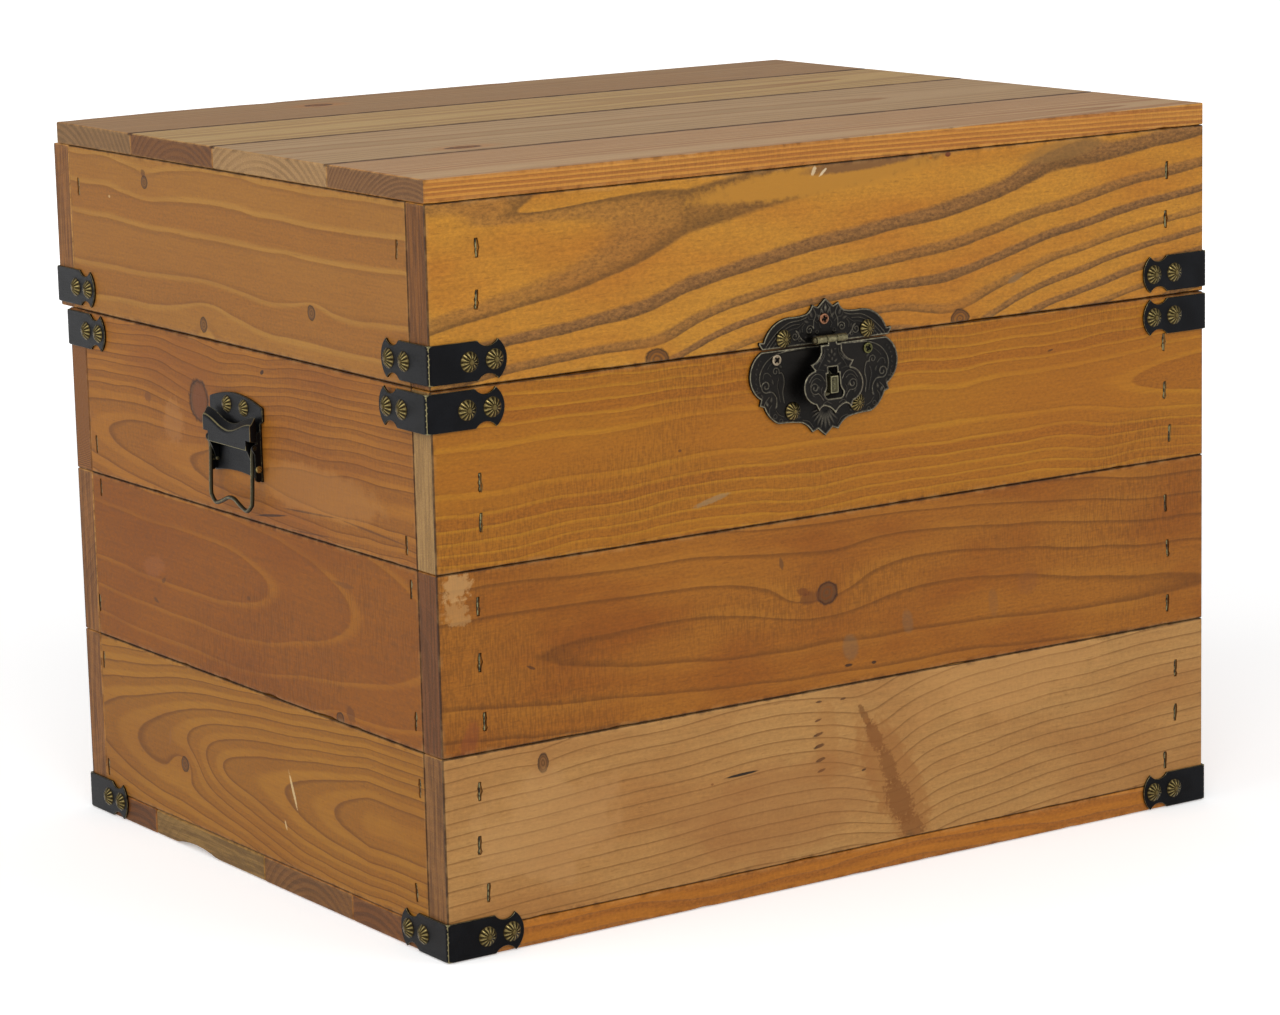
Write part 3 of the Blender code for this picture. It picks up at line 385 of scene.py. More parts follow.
def boardMesh(name, low, high, along, seed=0, shift=None):
    across = [i for i in range(3) if i != along]
    length = high[along] - low[along]
    inner = max(2, round(length / boardShape.station))
    stations = [0, boardShape.endInset, boardShape.inset]
    stations += [length * i / inner for i in range(1, inner)]
    stations += [length - boardShape.inset, length - boardShape.endInset, length]
    bm = bmesh.new()
    worn = bm.verts.layers.float.new("wear")
    loops = []
    for step, station in enumerate(stations):
        fromEnd = min(station, length - station)
        drawn = boardShape.endInset * (1 - min(1, fromEnd / boardShape.endInset))
        loop = []
        for number, (p, q) in enumerate(((0, 0), (1, 0), (1, 1), (0, 1))):
            place = Vector((station * 60 + seed, number * 9.7 + seed, seed * 0.31))
            chip = max(0, noise.noise(place) - 0.28) * boardShape.chip * 2.2
            edge = boardShape.edge * (1 + 0.45 * noise.noise(place * 0.37)) + chip
            inset = max(boardShape.inset, 1.4 * edge)
            marks = [(inset, 0, 0), (edge, 0, 1), (0.3 * edge, 0.3 * edge, 1), (0, edge, 1), (0, inset, 0)]
            for inP, inQ, wear in marks[::-1] if number in (0, 2) else marks:
                spot = [0, 0, 0]
                spot[along] = low[along] + station
                spot[across[0]] = (low, high)[p][across[0]] + (1 - 2 * p) * max(inP, drawn)
                spot[across[1]] = (low, high)[q][across[1]] + (1 - 2 * q) * max(inQ, drawn)
                vert = bm.verts.new(shift(spot) if shift else spot)
                vert[worn] = 1 if step in (0, 1, len(stations) - 2, len(stations) - 1) else wear
                loop.append(vert)
        loops.append(loop)
    count = len(loops[0])
    for before, after in zip(loops, loops[1:]):
        for i in range(count):
            bm.faces.new((before[i], before[(i + 1) % count], after[(i + 1) % count], after[i]))
    for loop in (loops[0], loops[-1]):
        centre = sum((v.co for v in loop), Vector()) / count
        inner = []
        for vert in loop:
            step = [max(-boardShape.endRim, min(boardShape.endRim, c - v)) for c, v in zip(centre, vert.co)]
            step[along] = 0
            inner.append(bm.verts.new(vert.co + Vector(step)))
        middle = bm.verts.new(centre)
        for i in range(count):
            bm.faces.new((loop[i], loop[(i + 1) % count], inner[(i + 1) % count], inner[i]))
            bm.faces.new((inner[i], inner[(i + 1) % count], middle))
    return meshFrom(bm, bpy.data.meshes.new(name), 30)


def cutFrom(target, tool):  # a Boolean that is applied at once
    change = target.modifiers.new("cut", "BOOLEAN")
    change.operation = "DIFFERENCE"
    change.solver = "EXACT"
    change.object = tool
    bpy.context.view_layer.update()
    graph = bpy.context.evaluated_depsgraph_get()
    old = target.data
    fresh = bpy.data.meshes.new_from_object(target.evaluated_get(graph))
    target.modifiers.clear()
    target.data = fresh
    bpy.data.meshes.remove(old)
    bpy.data.objects.remove(tool, do_unlink=True)


stapleShape = Settings(
    height=0.0092, width=0.0009, slotHeight=0.01, slotWidth=0.0016, slotDepth=0.0013, below=0.0004,
    thick=0.0006, soft=0.00018)


def prismInto(bm, centre, outline, depths, tilt, axes):
    # a prism whose outline lies in the board's face; tilt turns it in that face
    rings = []
    for depth in depths:
        rings.append([])
        for u, v in outline:
            spot = list(centre)
            spot[axes[0]] += u * cos(tilt) - v * sin(tilt)
            spot[axes[1]] += u * sin(tilt) + v * cos(tilt)
            spot[axes[2]] += depth
            rings[-1].append(bm.verts.new(spot))
    near, far = rings
    for i in range(len(outline)):
        after = (i + 1) % len(outline)
        bm.faces.new((near[i], near[after], far[after], far[i]))
    bm.faces.new(near[::-1])
    bm.faces.new(far)


def rectangle(width, height):
    x, y = width / 2, height / 2
    return [(-x, -y), (x, -y), (x, y), (-x, y)]


def tornOutline(width, height, seed):  # a staple's slot, its sides torn by the crown
    marks = []
    for side in (1, -1):
        for step in range(7):
            torn = abs(noise.noise(Vector((step * 1.9 + side * 5.3, seed * 3.1, 1.7))))
            reach = width * (0.5 + 1.1 * torn * (1 if 0 < step < 6 else 0.2))
            marks.append((side * reach, side * height * (step / 6 - 0.5)))
    return marks


def addStaples(board, axes, face, outward, spots, seed):
    # face is where the board's outer side lies on its depth axis, outward which way it looks
    shape = stapleShape
    slots, wires = bmesh.new(), bmesh.new()
    for number, spot in enumerate(spots):
        tilt = 0.14 * noise.noise(Vector((number * 3.7 + seed, seed, 0.5)))
        centre = [0, 0, 0]
        centre[axes[0]], centre[axes[1]] = mm(*spot)
        centre[axes[2]] = face
        prismInto(slots, centre, tornOutline(shape.slotWidth, shape.slotHeight, number + seed),
                  (-shape.slotDepth, shape.slotDepth), tilt, axes)
        centre[axes[2]] = face - outward * shape.below
        crown = rectangle(shape.width, shape.height)
        prismInto(wires, centre, crown, (0, -outward * shape.thick), tilt, axes)
    bmesh.ops.bevel(wires, geom=wires.edges[:], offset=shape.soft, segments=1, affect="EDGES")
    cutFrom(board, link("slots", meshFrom(slots, bpy.data.meshes.new("slots"))))
    name = board.name + "_staples"
    return link(name, meshFrom(wires, bpy.data.meshes.new(name)), stapleSteel)


def stapleMaterial():
    made, web, shader = newMaterial("staple steel")
    spot = web.node("ShaderNodeTexCoord").outputs["Object"]
    rust = web.step(web.noise(spot, 420, 3, 0.6), 0.4, 0.62)
    web.join(web.mix(rust, paint("7f7a58"), paint("1e160f")), shader["Base Color"])
    web.join(0.9 - rust * 0.6, shader["Metallic"])
    web.join(0.35 + rust * 0.4, shader["Roughness"])
    return made


stapleSteel = stapleMaterial()
print("shader groups and wood helpers ready")


# The boards of the walls. Their staples are given in millimetres from the left or front edge and the floor
frontBoards = {
    "lid_board_front": Settings(early="b27a26", late="7f562a", line="583a15", stain="a5661d", cloud=0.8,
        end="7c4c1c", endLate="593410", pith=(-96, 372, 100.8), lean=0.13, near=0.04, far=0, ring=7.2,
        uneven=0.5, waver=4.5, share=0.31, soft=0.82, contrast=1, lines=0.6, stipple=0.85, sawn=0.02,
        seed=2, knots=[(-116.8, 293.8, 5.2, 1.3, 0.6), (79.7, 294.5, 4.8, 1.2, 0.6)],
        bends=[(-116.8, 292, 34, 22, 8, -1.5), (79.7, 292, 36, 22, 0, -2), (152, 377, 30, 7.5, 14, 0.42),
        (-170, 380, 50, 4, 8, 0.5)], marks=[(-12, 377, 85, 8.5, 3, 0.9, 200, "b17a28", 0.88),
        (18, 383.5, 42, 4.2, 3, 0.5, 300, "6e4a2a", 0.85), (152, 379, 30, 6, 6, 0.6, 200, "85602f", 0.55),
        (-16, 381.5, 3, 1.2, 60, 1.4, 900, "d8bf96", 0.7),
        (-10, 380.5, 3.2, 0.8, 40, 1.2, 900, "e0caa4", 0.7),
        (72.5, 383, 2, 1.4, 0, 0.3, 300, "5c1f0c", 0.95), (61, 382.2, 1.2, 0.8, 0, 0.3, 300, "9a5a10", 0.8),
        (118, 312.5, 6, 2, 20, 0.4, 300, "80603c", 0.8)], staples=[(29.1, 361), (28.2, 335.3),
        (477.4, 361.8), (476.6, 334.8)]),
    "front_board_upper": Settings(early="a86f17", late="905411", line="7c490c", stain="a16214", cloud=0.7,
        end="a07c4a", endLate="86653a", pith=(80, 249, 26), lean=-0.01, far=-0.035, ring=4.6, uneven=0.8,
        waver=6, share=0.7, soft=0.3, lines=0.25, stipple=0.45, sawn=0.6, seed=3,
        bends=[(-20, 205, 50, 20, 0, -1), (160, 232, 40, 20, 0, 0.6)],
        # the first mark, a nearly black line along the board's top edge under the clasp, is painted shade
        marks=[(-10.9, 291.2, 40, 1.6, 0, 0.2, 300, "1c130b", 0.95),
        (-85, 216.5, 12, 1.6, 12, 0.9, 500, "8f7c5a", 0.5),
        (-104, 245, 1.2, 0.8, 0, 0.4, 300, "5a3414", 0.8),
        (142, 270.5, 2, 0.6, 10, 0.5, 300, "4a2a12", 0.8)], staples=[(27.1, 243.6), (26.9, 223.3),
        (475.2, 266.3), (475.9, 239.3), (479.5, 214.6)]),
    "front_board_middle": Settings(early="9c621b", late="864c0e", line="552f07", stain="83470d", cloud=0.9,
        end="70421c", endLate="543010", pith=(-60, 143.5, 6), lean=-0.05, near=-0.07, ring=12.5, uneven=0.4,
        share=0.62, soft=0.1, contrast=0.5, stipple=0.5, sawn=0.6, seed=4, phase=-0.35,
        knots=[(-11.5, 157.2, 5.8, 1.1, 0.9)], bends=[(-30, 157, 22, 8, 0, 0.5),
        (50, 172, 50, 20, -10, -0.4)], marks=[(-22.5, 156, 7.5, 3.6, 8, 1.2, 420, "5e3312", 0.6),
        (-27, 160, 4.5, 2.2, -20, 0.9, 420, "5c2c0e", 0.6),
        (-240.5, 192.5, 8.5, 7, 20, 2.2, 260, "bb915c", 0.6),
        (-241, 179, 7, 8.5, 60, 2.2, 260, "b68a54", 0.5),
        (3.5, 125.5, 5.5, 7.5, 10, 0.4, 300, "6e5a40", 0.4), (42, 134, 4, 7, 12, 0.4, 300, "6e5a40", 0.32),
        (101, 136, 3.5, 8.5, 5, 0.4, 300, "76502c", 0.35), (125, 144, 8, 7, 0, 0.5, 300, "7a4a24", 0.3),
        (2, 116, 2.8, 0.9, 0, 0.6, 500, "2e1a0c", 0.9), (19, 115, 1.6, 0.9, 0, 0.6, 500, "2e1a0c", 0.9),
        (-41, 177, 1.4, 3.6, 12, 0.8, 500, "5a3a1c", 0.7),
        (-198, 145, 3, 0.8, -25, 0.6, 500, "4a2a12", 0.8), (-236, 112, 12, 5, 70, 1, 300, "7e3e1c", 0.5)],
        staples=[(23.6, 181), (23.7, 152.2), (25.5, 121.5), (476.6, 175.2), (478.1, 149.3),
        (478.1, 117.8)]),
    "front_board_lower": Settings(early="aa7e47", late="9e6f3a", line="704920", stain="996734", cloud=0.75,
        end="84592c", endLate="5c3a1a", pith=(-100, -170, 30), lean=0.055, far=0, ring=7.2, uneven=0.5,
        waver=3.5, soft=0.2, contrast=0.3, lines=0.65, stipple=0.4, sawn=0.15, seed=5,
        knots=[(-192.6, 94.5, 4.8, 0.62, 0.4)], bends=[(27, 55, 62, 24, -66, 2.4),
        (-60, 60, 100, 200, 0, -0.4)], marks=[(-45, 45, 70, 28, 4, 1.6, 50, "8f5c30", 0.3),
        (110, 98, 70, 24, 4, 1.6, 50, "bd8a50", 0.3), (-190, 60, 45, 30, 4, 1.6, 50, "b98c58", 0.3),
        (12.5, 86, 9, 2.2, -62, 1.6, 520, "6a3f16", 0.7), (19, 74, 11, 4.5, -62, 1.6, 520, "5c3210", 0.75),
        (28, 56, 13, 5.2, -70, 1.6, 520, "54300f", 0.75), (35, 36, 15, 8.5, -62, 1.6, 520, "522c0c", 0.78),
        (43, 21, 10, 7, -40, 1.6, 520, "5f3612", 0.7), (32, 48, 45, 17, -62, 1.2, 200, "8e5a28", 0.55),
        (-18, 99, 2.2, 0.7, 0, 0.8, 600, "3a1d0e", 0.8), (-2, 98.2, 2, 0.7, 5, 0.8, 600, "4a2a12", 0.8),
        (-18.8, 89, 2.6, 0.7, 12, 0.8, 600, "4a2412", 0.85),
        (-18.8, 81.2, 3.6, 0.9, 12, 0.8, 600, "3a1d0e", 0.9),
        (-18.2, 74.8, 3.8, 1.1, 12, 0.8, 600, "32180c", 0.95),
        (-17.4, 67.2, 3.6, 1, 12, 0.8, 600, "3a1d0e", 0.9),
        (-17, 61.2, 2.8, 0.8, 12, 0.8, 600, "4a2412", 0.85),
        (11.2, 57, 1.6, 0.7, 10, 0.6, 600, "3a1d0e", 0.85), (-13, 75, 8, 26, 0, 1, 300, "94602c", 0.3),
        (-69, 67.8, 11, 0.8, 2, 0.25, 300, "170e08", 0.97),
        (-88, 65.5, 1, 0.7, 0, 0.5, 300, "7a4a22", 0.8)], staples=[(21.2, 85.9), (20.2, 58), (24.6, 32.5),
        (484, 79.4), (484, 53.8), (476.5, 27.1)]),
}
leftBoards = {
    "lid_board_left": Settings(early="a57430", late="8c571e", line="6b4119", stain="986526", cloud=0.6,
        pith=(50, 333.5, 10), far=0, ring=16.2, uneven=0.3, waver=4.5, share=0.8, soft=0.25, contrast=0.8,
        lines=0.3, sawn=0.15, seed=6, knots=[(97.5, 371.2, 3.4, 1, 0.3), (36.2, 299.8, 3.8, 1, 0.4),
        (-81, 318.9, 3.6, 1, 0.4)], bends=[(-55, 331, 22, 6, 0, -0.5), (30, 306, 30, 12, 0, 0.4)],
        marks=[(98.5, 376, 3, 2.2, 30, 0.9, 600, "4a2a14", 0.6),
        (140, 360, 1.2, 0.8, 0, 0.5, 300, "e0c48e", 0.45)], staples=[(373.3, 362.3), (27.9, 360.1)]),
    "left_board_upper": Settings(early="9d631d", late="7c4811", line="593009", stain="884e18", cloud=0.85,
        pith=(30, 226, 20), far=0.09, ring=4.8, uneven=0.9, waver=5, share=0.55, contrast=0.65, stipple=0.4,
        sawn=0.25, seed=7, knots=[(45.5, 257.5, 10.5, 0.95, 3.2)],
        marks=[(44.5, 257, 8.5, 10.5, 0, 0.3, 300, "6f3f1e", 0.85),
        (76, 242, 12, 13, 20, 1.2, 260, "b07a48", 0.3), (105, 252, 4, 3, 0, 1, 500, "6a3e1e", 0.6),
        (-26, 281.5, 2.2, 1.2, -30, 0.6, 500, "2c1a10", 0.9),
        (-30, 205.5, 17, 0.7, -8, 0.5, 260, "2e1a10", 0.85),
        (-73, 213, 30, 0.6, -3, 0.6, 260, "3a2212", 0.75),
        (-135, 212.5, 35, 0.6, 3, 0.6, 260, "4a2c18", 0.6),
        (-70, 202, 24, 0.5, -3, 0.6, 260, "4a2c18", 0.6), (-80, 225, 70, 14, 0, 0.8, 120, "b07a40", 0.35)],
        staples=[(366.2, 216.6), (27.9, 210.9)]),
    "left_board_middle": Settings(early="965b10", late="7a4105", line="643504", stain="814707", cloud=0.7,
        pith=(40, 167, 4), near=-0.19, far=0, ring=16.5, uneven=0.3, share=0.84, soft=0.1, lines=0.12,
        stipple=0.4, sawn=0.5, seed=8, knots=[(-95, 108, 3, 1.2, 0.3)],
        marks=[(-106, 112, 5, 4, 30, 1, 500, "5a3214", 0.6),
        (106, 137, 3, 1.2, 20, 0.9, 500, "50301a", 0.7), (96, 150, 3, 1.4, -30, 0.9, 500, "50301a", 0.6),
        (-1, 156, 2.2, 1.2, 0, 0.8, 500, "5a3214", 0.7), (-103, 180, 12, 1.4, 0, 1, 500, "5a3820", 0.4),
        (107, 156, 14, 6, -10, 0.8, 200, "a86a44", 0.2)], staples=[(363.4, 192), (371.9, 123.8),
        (25.1, 188.9), (24.8, 120.8)]),
    "left_board_lower": Settings(early="9e691e", late="7d4a0e", line="5d3309", stain="8f5815", cloud=0.6,
        pith=(-120, 56, 19), far=0.11, ring=5, uneven=0.8, share=0.5, contrast=0.6, lines=0.55, sawn=0.1,
        seed=9, phase=0.35, knots=[(80.5, 47.8, 4, 1, 1.6)], bends=[(30, 55, 30, 12, 0, -0.8)],
        marks=[(97, 60, 1.2, 5, 10, 0.9, 500, "8c5a2c", 0.7),
        (-41.5, 57.5, 1.2, 10.5, -22, 0.9, 900, "d8bd8a", 0.75),
        (-32, 37, 0.8, 3, -22, 0.9, 900, "d8bd8a", 0.7)], staples=[(370.5, 90.7), (370.9, 27.4),
        (23.2, 86.3), (29.9, 30.2)]),
}
unseen = Settings(early=("c48a42", "bb7c38", "c59250", "b87434"), late=("8e5a26", "94602c", "824f20"),
                  stain=("b06c2c", "a9682c"), staplesIn=26)
# the look of the painted shade laid along the seams between a wall's boards
seam = Settings(half=0.7, rag=0.8, fur=120, colour="24150a", share=0.8)


def unseenBoard(number, axes, low, high):  # the back and right boards differ from each other by number
    def draw(salt):
        return noise.cell(Vector((number * 1.37 + salt, salt * 2.11, 7.5)))
    (x, halfX), (z, halfZ) = [(500 * (low[i] + high[i]), 500 * (high[i] - low[i])) for i in axes[:2]]
    knots = [(x + halfX * (1.6 * draw(5 + k) - 0.8), z + halfZ * (1.5 * draw(9 + k) - 0.75),
              3.5 + 4 * draw(12 + k), 1, 1 + draw(15 + k)) for k in range(1 + int(2 * draw(3)))]
    return dict(
        early=unseen.early[number % 4], late=unseen.late[number % 3], stain=unseen.stain[number % 2],
        cloud=0.7, pith=(300 * draw(1) - 150, z + 120 * draw(2) - 60, 30 + 40 * draw(4)),
        lean=0.12 * draw(6) - 0.06, far=0.02 + 0.05 * draw(7), ring=5 + 3 * draw(8),
        contrast=0.55 + 0.3 * draw(10), sawn=0.8 * draw(11), seed=20 + number, knots=knots,
        staples=[(x + side * (halfX - unseen.staplesIn), z + up) for side in (-1, 1) for up in (-22, 21)])


def seamShade(low, high, axes):  # painted shade: dark lines where a wall's boards meet
    (x, halfX), (z, halfZ) = [(500 * (low[i] + high[i]), 500 * (high[i] - low[i])) for i in axes[:2]]
    lines = [(x, z + side * halfZ, 3 * halfX, seam.half) for side in (-1, 1)]
    lines += [(x + side * halfX, z, seam.half, 3 * halfZ) for side in (-1, 1)]
    return [(*line, 0, seam.rag, seam.fur, seam.colour, seam.share) for line in lines]


def dressBoard(node, facing, outward, changes, shift=None):
    # one board of the box: its mesh, its wood and its staples, all riding with the board's body
    look = Settings({**plainWood, **changes})
    low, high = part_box(node)
    axes = axesOf[facing]
    board = link("wood_" + node, boardMesh(node, low, high, axes[0], look.seed, shift))
    outer = (high if outward > 0 else low)[axes[2]]
    if look.staples:
        wire = addStaples(board, axes, outer, outward, look.staples, look.seed)
        belongs(wire, bodyOf(node))
    if facing in ("front", "side"):
        look.update(marks=[*look.marks, *seamShade(low, high, axes)])
    refinish(board, woodMaterial("wood " + node.replace("_", " "), facing, outer, outward, look))
    belongs(board, bodyOf(node), node)


for boards, facing, edge in ((frontBoards, "front", 252), (leftBoards, "side", 196)):
    for node, look in boards.items():
        spots = [(spot - edge, up) for spot, up in look.staples]
        dressBoard(node, facing, -1, {**look, "staples": spots})
hidden = [(f"lid_board_{side}" if level == "lid" else f"{side}_{level}", facing)
          for level in ("board_lower", "board_middle", "board_upper", "lid")
          for side, facing in (("back", "front"), ("right", "side"))]
for number, (node, facing) in enumerate(hidden):
    dressBoard(node, facing, 1, unseenBoard(number, axesOf[facing], *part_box(node)))
print("walls:", len(frontBoards) + len(leftBoards) + len(hidden), "boards")

# Top boards, their upper faces painted greyer and lighter as a painted sheen, and the base boards
topBoards = {
    "lid_top_board_1": Settings(early="bf8336", late="925623", top="b0926e", end="7c5530",
        endLate="5c3d20", pith=(0, -178, 60), lean=0.01, far=0.01, ring=2.5, share=0.5, contrast=0.8,
        lines=0.4, waver=2, seed=41),
    "lid_top_board_2": Settings(early="b08650", late="8c6a3e", top="ab8d68", end="a07c50",
        endLate="82623c", pith=(100, -40, 70), lean=-0.02, far=0.02, ring=4.2, contrast=0.5, seed=42,
        knots=[(-160, -85, 4.5, 2.2, 1)]),
    "lid_top_board_3": Settings(early="b0844c", late="8c6236", top="b4945f", end="70461f",
        endLate="563318", pith=(-100, 60, 52), lean=0.03, far=0.01, ring=4, contrast=0.7, seed=43),
    "lid_top_board_4": Settings(early="ac804c", late="866038", top="987650", end="82603a",
        endLate="664a2a", pith=(0, 200, 55), lean=-0.03, far=0.02, ring=4.4, contrast=0.7, seed=44,
        knots=[(-100, 170, 5, 1.6, 1.2)]),
}
baseBoards = {
    "base_board_1": Settings(early="a8681f", late="8e541c", end="74461c", endLate="4c2c12", seed=51,
        stain="9c5e1a", pith=(0, -120, 60), ring=4.5, stipple=0.6),
    "base_board_2": Settings(early="a86e34", late="865528", end="7a5024", endLate="583818", seed=52,
        pith=(0, -60, 50), ring=4.8),
    "base_board_3": Settings(early="ab8246", late="86642f", end="8b6a36", endLate="644820", seed=53,
        pith=(0, 60, 50), ring=5),
    "base_board_4": Settings(early="a06228", late="7c4b1c", end="6a3e18", endLate="462810", seed=54,
        pith=(0, 140, 55), ring=4.8),
}
topWane = Settings(length=0.065, depth=0.005)


def waneTop(spot):  # the bark edge at the back left of the rearmost top board
    low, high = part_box("lid_top_board_4")
    run = 1 - (spot[0] - low.x) / topWane.length
    if run > 0 and spot[1] > (low.y + high.y) / 2:
        dip = topWane.depth * (1 - (1 - run) ** 1.7) * (0.93 + 0.1 * noise.noise(Vector((run * 9, 1, 2))))
        spot[1] -= min(dip, topWane.depth)
    return spot


for node, look in topBoards.items():  # with painted shade along the seams between them
    low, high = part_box(node)
    seams = [low.y] * (not node.endswith("1")) + [high.y] * (not node.endswith("4"))
    grime = [(0, 1000 * y, 900, 3, 0, 1.1, 60, "40230f", 0.85) for y in seams]
    shift = waneTop if node.endswith("4") else None
    dressBoard(node, "flat", 1, {**look, "streaks": 0.1, "marks": grime}, shift)
for node, look in baseBoards.items():
    if node != "base_board_3":
        dressBoard(node, "flat", 1, {**look, "streaks": 0.3})
refinish(frame["nodes"]["base_board_3"], woodMaterial(
    "wood base board 3", "flat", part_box("base_board_3")[1].z, 1, baseBoards["base_board_3"]))

# The raw timbers inside the corners
rawTimber = Settings(
    early="c9a878", late="b48f5c", line="a17c4c", stain="bd9a68", end="bd9c6c", endLate="96754a", ring=4,
    contrast=0.5, lines=0.35, fibre=0.12)
timbers = sorted(node for node in frame["nodes"] if node.startswith(("corner_post", "lid_block")))
for number, node in enumerate(timbers):
    low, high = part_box(node)
    timber = link("timber_" + node, boardMesh(node, low, high, 2, 60 + number))
    look = {**rawTimber, "seed": 60 + number, "pith": (0, 500 * (low.x + high.x) + 20 * (-1) ** number, 40)}
    refinish(timber, woodMaterial("raw " + node.replace("_", " "), "upright", low.y, -1, look))
    belongs(timber, bodyOf(node), node)
print("top, base and timbers:", len(topBoards) + len(baseBoards) + len(timbers))

# Metal finishes. Wear and hollow are kept in each mesh: 1 on rubbed edges, 1 in recesses

def patinaGroup():
    web, given = shaderGroup("Metal patina", Place=None, Wear=0, Patch=60, Grit=1500, Rag=0.5, Seed=0)
    moved = web.vector("ADD", given.Place, web.place(given.Seed, 0, given.Seed))
    ragged = (web.noise(moved, 620, 3, 0.6) - 0.5) * given.Rag
    return web.group(
        Worn=web.step(given.Wear + ragged, 0.34, 0.7),
        Blotch=web.step(web.noise(moved, given.Patch, 3, 0.55), 0.36, 0.68),
        Pits=web.step(web.noise(moved, given.Grit, 2, 0.6), 0.56, 0.72),
        Brushed=web.noise(web.vector("MULTIPLY", moved, (120, 120, 2600))))


patina = patinaGroup()
plainMetal = Settings(
    base="17181b", blotch="232427", blotching=0.7, recess="08080a", crest="2b2c2f", bright="8f8660",
    grime=0.8, pits=0.3, metallic=0.85, rough=0.44, roughWorn=0.32, patch=55, grit=1500, rag=0.6,
    dents=0.25, seed=0)
metals = {
    "blackened sheet": Settings(base="0d0d0f", blotch="151619", crest="1e1e1d", bright="877d58",
        rough=0.42, metallic=0.9, dents=0.4),
    "clasp relief": Settings(base="1a1714", blotch="28231e", recess="080706", crest="524d42",
        bright="8a836c", pits=0.4, rough=0.42, rag=0.7, dents=0.6, grit=1100, seed=2),
    "antique brass": Settings(base="42371f", blotch="57492a", recess="0e0b06", crest="665832",
        bright="a89762", grime=0.95, pits=0.4, rough=0.3, roughWorn=0.22, metallic=0.95, patch=180, seed=4),
    "knuckle brass": Settings(base="4d4631", blotch="363021", recess="0d0b07", crest="665f45",
        bright="968e6a", pits=0.8, rough=0.34, grit=700, dents=0.7, patch=260, seed=6),
    "staple brass": Settings(base="565238", blotch="403c29", recess="14110b", crest="66614a",
        bright="847e60", pits=0.8, rough=0.34, grit=520, dents=0.8, patch=320, seed=7),
    "handle wire": Settings(base="28241a", blotch="3c3624", recess="100e0a", crest="4a442e",
        bright="8f8558", rough=0.32, roughWorn=0.24, rag=0.9, patch=90, seed=8),
    "copper screw": Settings(base="5a3826", blotch="7c5138", recess="0c0806", crest="6e4630",
        bright="a87c5c", rough=0.28, grime=1, patch=300),
    "pale screw": Settings(base="6e604e", blotch="8a7b66", recess="0e0b09", crest="7e6f5a",
        bright="b4a68e", rough=0.28, grime=1, patch=300),
    "yellow screw": Settings(base="38351a", blotch="4a4624", recess="0e0c06", crest="424020",
        bright="6c683c", rough=0.28, grime=1, patch=300),
}


def metalMaterial(name):
    look = Settings({**plainMetal, **metals[name]})
    made, web, shader = newMaterial(name)
    wear, hollow = web.painted("wear"), web.painted("hollow")
    old = web.use(patina, Place=web.node("ShaderNodeTexCoord").outputs["Object"], Wear=wear, Patch=look.patch,
                  Grit=look.grit, Rag=look.rag, Seed=look.seed)
    colour = paint(look.base)
    # hollows take the recess colour: patina in the recesses, and painted shade in a screw head's flat middle
    for share, tone in ((old.Blotch * look.blotching, look.blotch), (hollow * look.grime, look.recess),
                        (old.Pits * look.pits, look.recess), (web.step(wear, 0.08, 0.48) * 0.8, look.crest),
                        (old.Worn * 0.92, look.bright)):
        colour = web.mix(share, colour, paint(tone))
    web.join(colour, shader["Base Color"])
    rough = look.rough + old.Pits * 0.18 + (old.Brushed - 0.5) * 0.16
    web.join(rough + old.Worn * (look.roughWorn - look.rough), shader["Roughness"])
    web.join(look.metallic, shader["Metallic"])
    addBump(web, shader, old.Brushed * 0.15 - old.Pits * look.dents, 0.00018)
    return made


finish = {name: metalMaterial(name) for name in metals}


# Metalwork in millimetres: x along the wall, z up, out of the wall

class Metalwork:
    # gathers points, faces, wear and hollow for one piece
    def __init__(self):
        self.points, self.faces, self.wear, self.hollow = [], [], [], []

    def add(self, points, faces, wear=0, hollow=0):
        # wear and hollow are one value for all points, or one for each ring or each point
        start = len(self.points)
        self.points += [tuple(point) for point in points]
        self.faces += [[i + start for i in corners] for corners in faces]
        for kept, given in ((self.wear, wear), (self.hollow, hollow)):
            kept += np.repeat(np.array(given, float), len(points) // np.size(given)).tolist()

    def loft(self, rings, wear=0, hollow=0):
        # rings of equal count, one after the other, with their ends closed
        count = len(rings[0])
        points = [point for ring in rings for point in ring]
        faces = [(a + i, a + (i + 1) % count, a + count + (i + 1) % count, a + count + i)
                 for a in range(0, len(points) - count, count) for i in range(count)]
        faces += [range(count)[::-1], range(len(points) - count, len(points))]
        self.add(points, faces, wear, hollow)

    def make(self, name, finishName, body, slot, node=None, sharp=38):
        mesh = bpy.data.meshes.new(name)
        mesh.from_pydata(self.points, [], self.faces)
        for label, values in (("wear", self.wear), ("hollow", self.hollow)):
            mesh.attributes.new(label, "FLOAT", "POINT").data.foreach_set("value", values)
        bm = bmesh.new()
        bm.from_mesh(mesh)
        return belongs(link(name, meshFrom(bm, mesh, sharp), finish[finishName]), body, node)


def wallFrame(origin, turn=0, tilt=0):
    # gives the place in the scene of a point on a wall that faces -Y, turned about +Z
    spin = Matrix.Rotation(turn, 3, "Z") @ Matrix.Rotation(-tilt, 3, "X")
    start = Vector(origin)
    return lambda x, z, out: start + spin @ Vector((x, -out, z)) * 0.001


def arcTo(start, end, bulge, steps):  # points after start up to end, on an arc left of its chord
    a, b = Vector(start), Vector(end)
    chord = b - a
    half = chord.length / 2
    side = Vector((-chord.y, chord.x)).normalized()
    radius = (half * half + bulge * bulge) / (2 * bulge)
    centre = (a + b) / 2 + side * (bulge - radius)
    first = atan2(a.y - centre.y, a.x - centre.x)
    sweep = 2 * atan2(half, abs(radius) - abs(bulge)) * (-1 if bulge > 0 else 1)
    return [(centre.x + abs(radius) * cos(first + sweep * i / steps),
             centre.y + abs(radius) * sin(first + sweep * i / steps)) for i in range(1, steps + 1)]


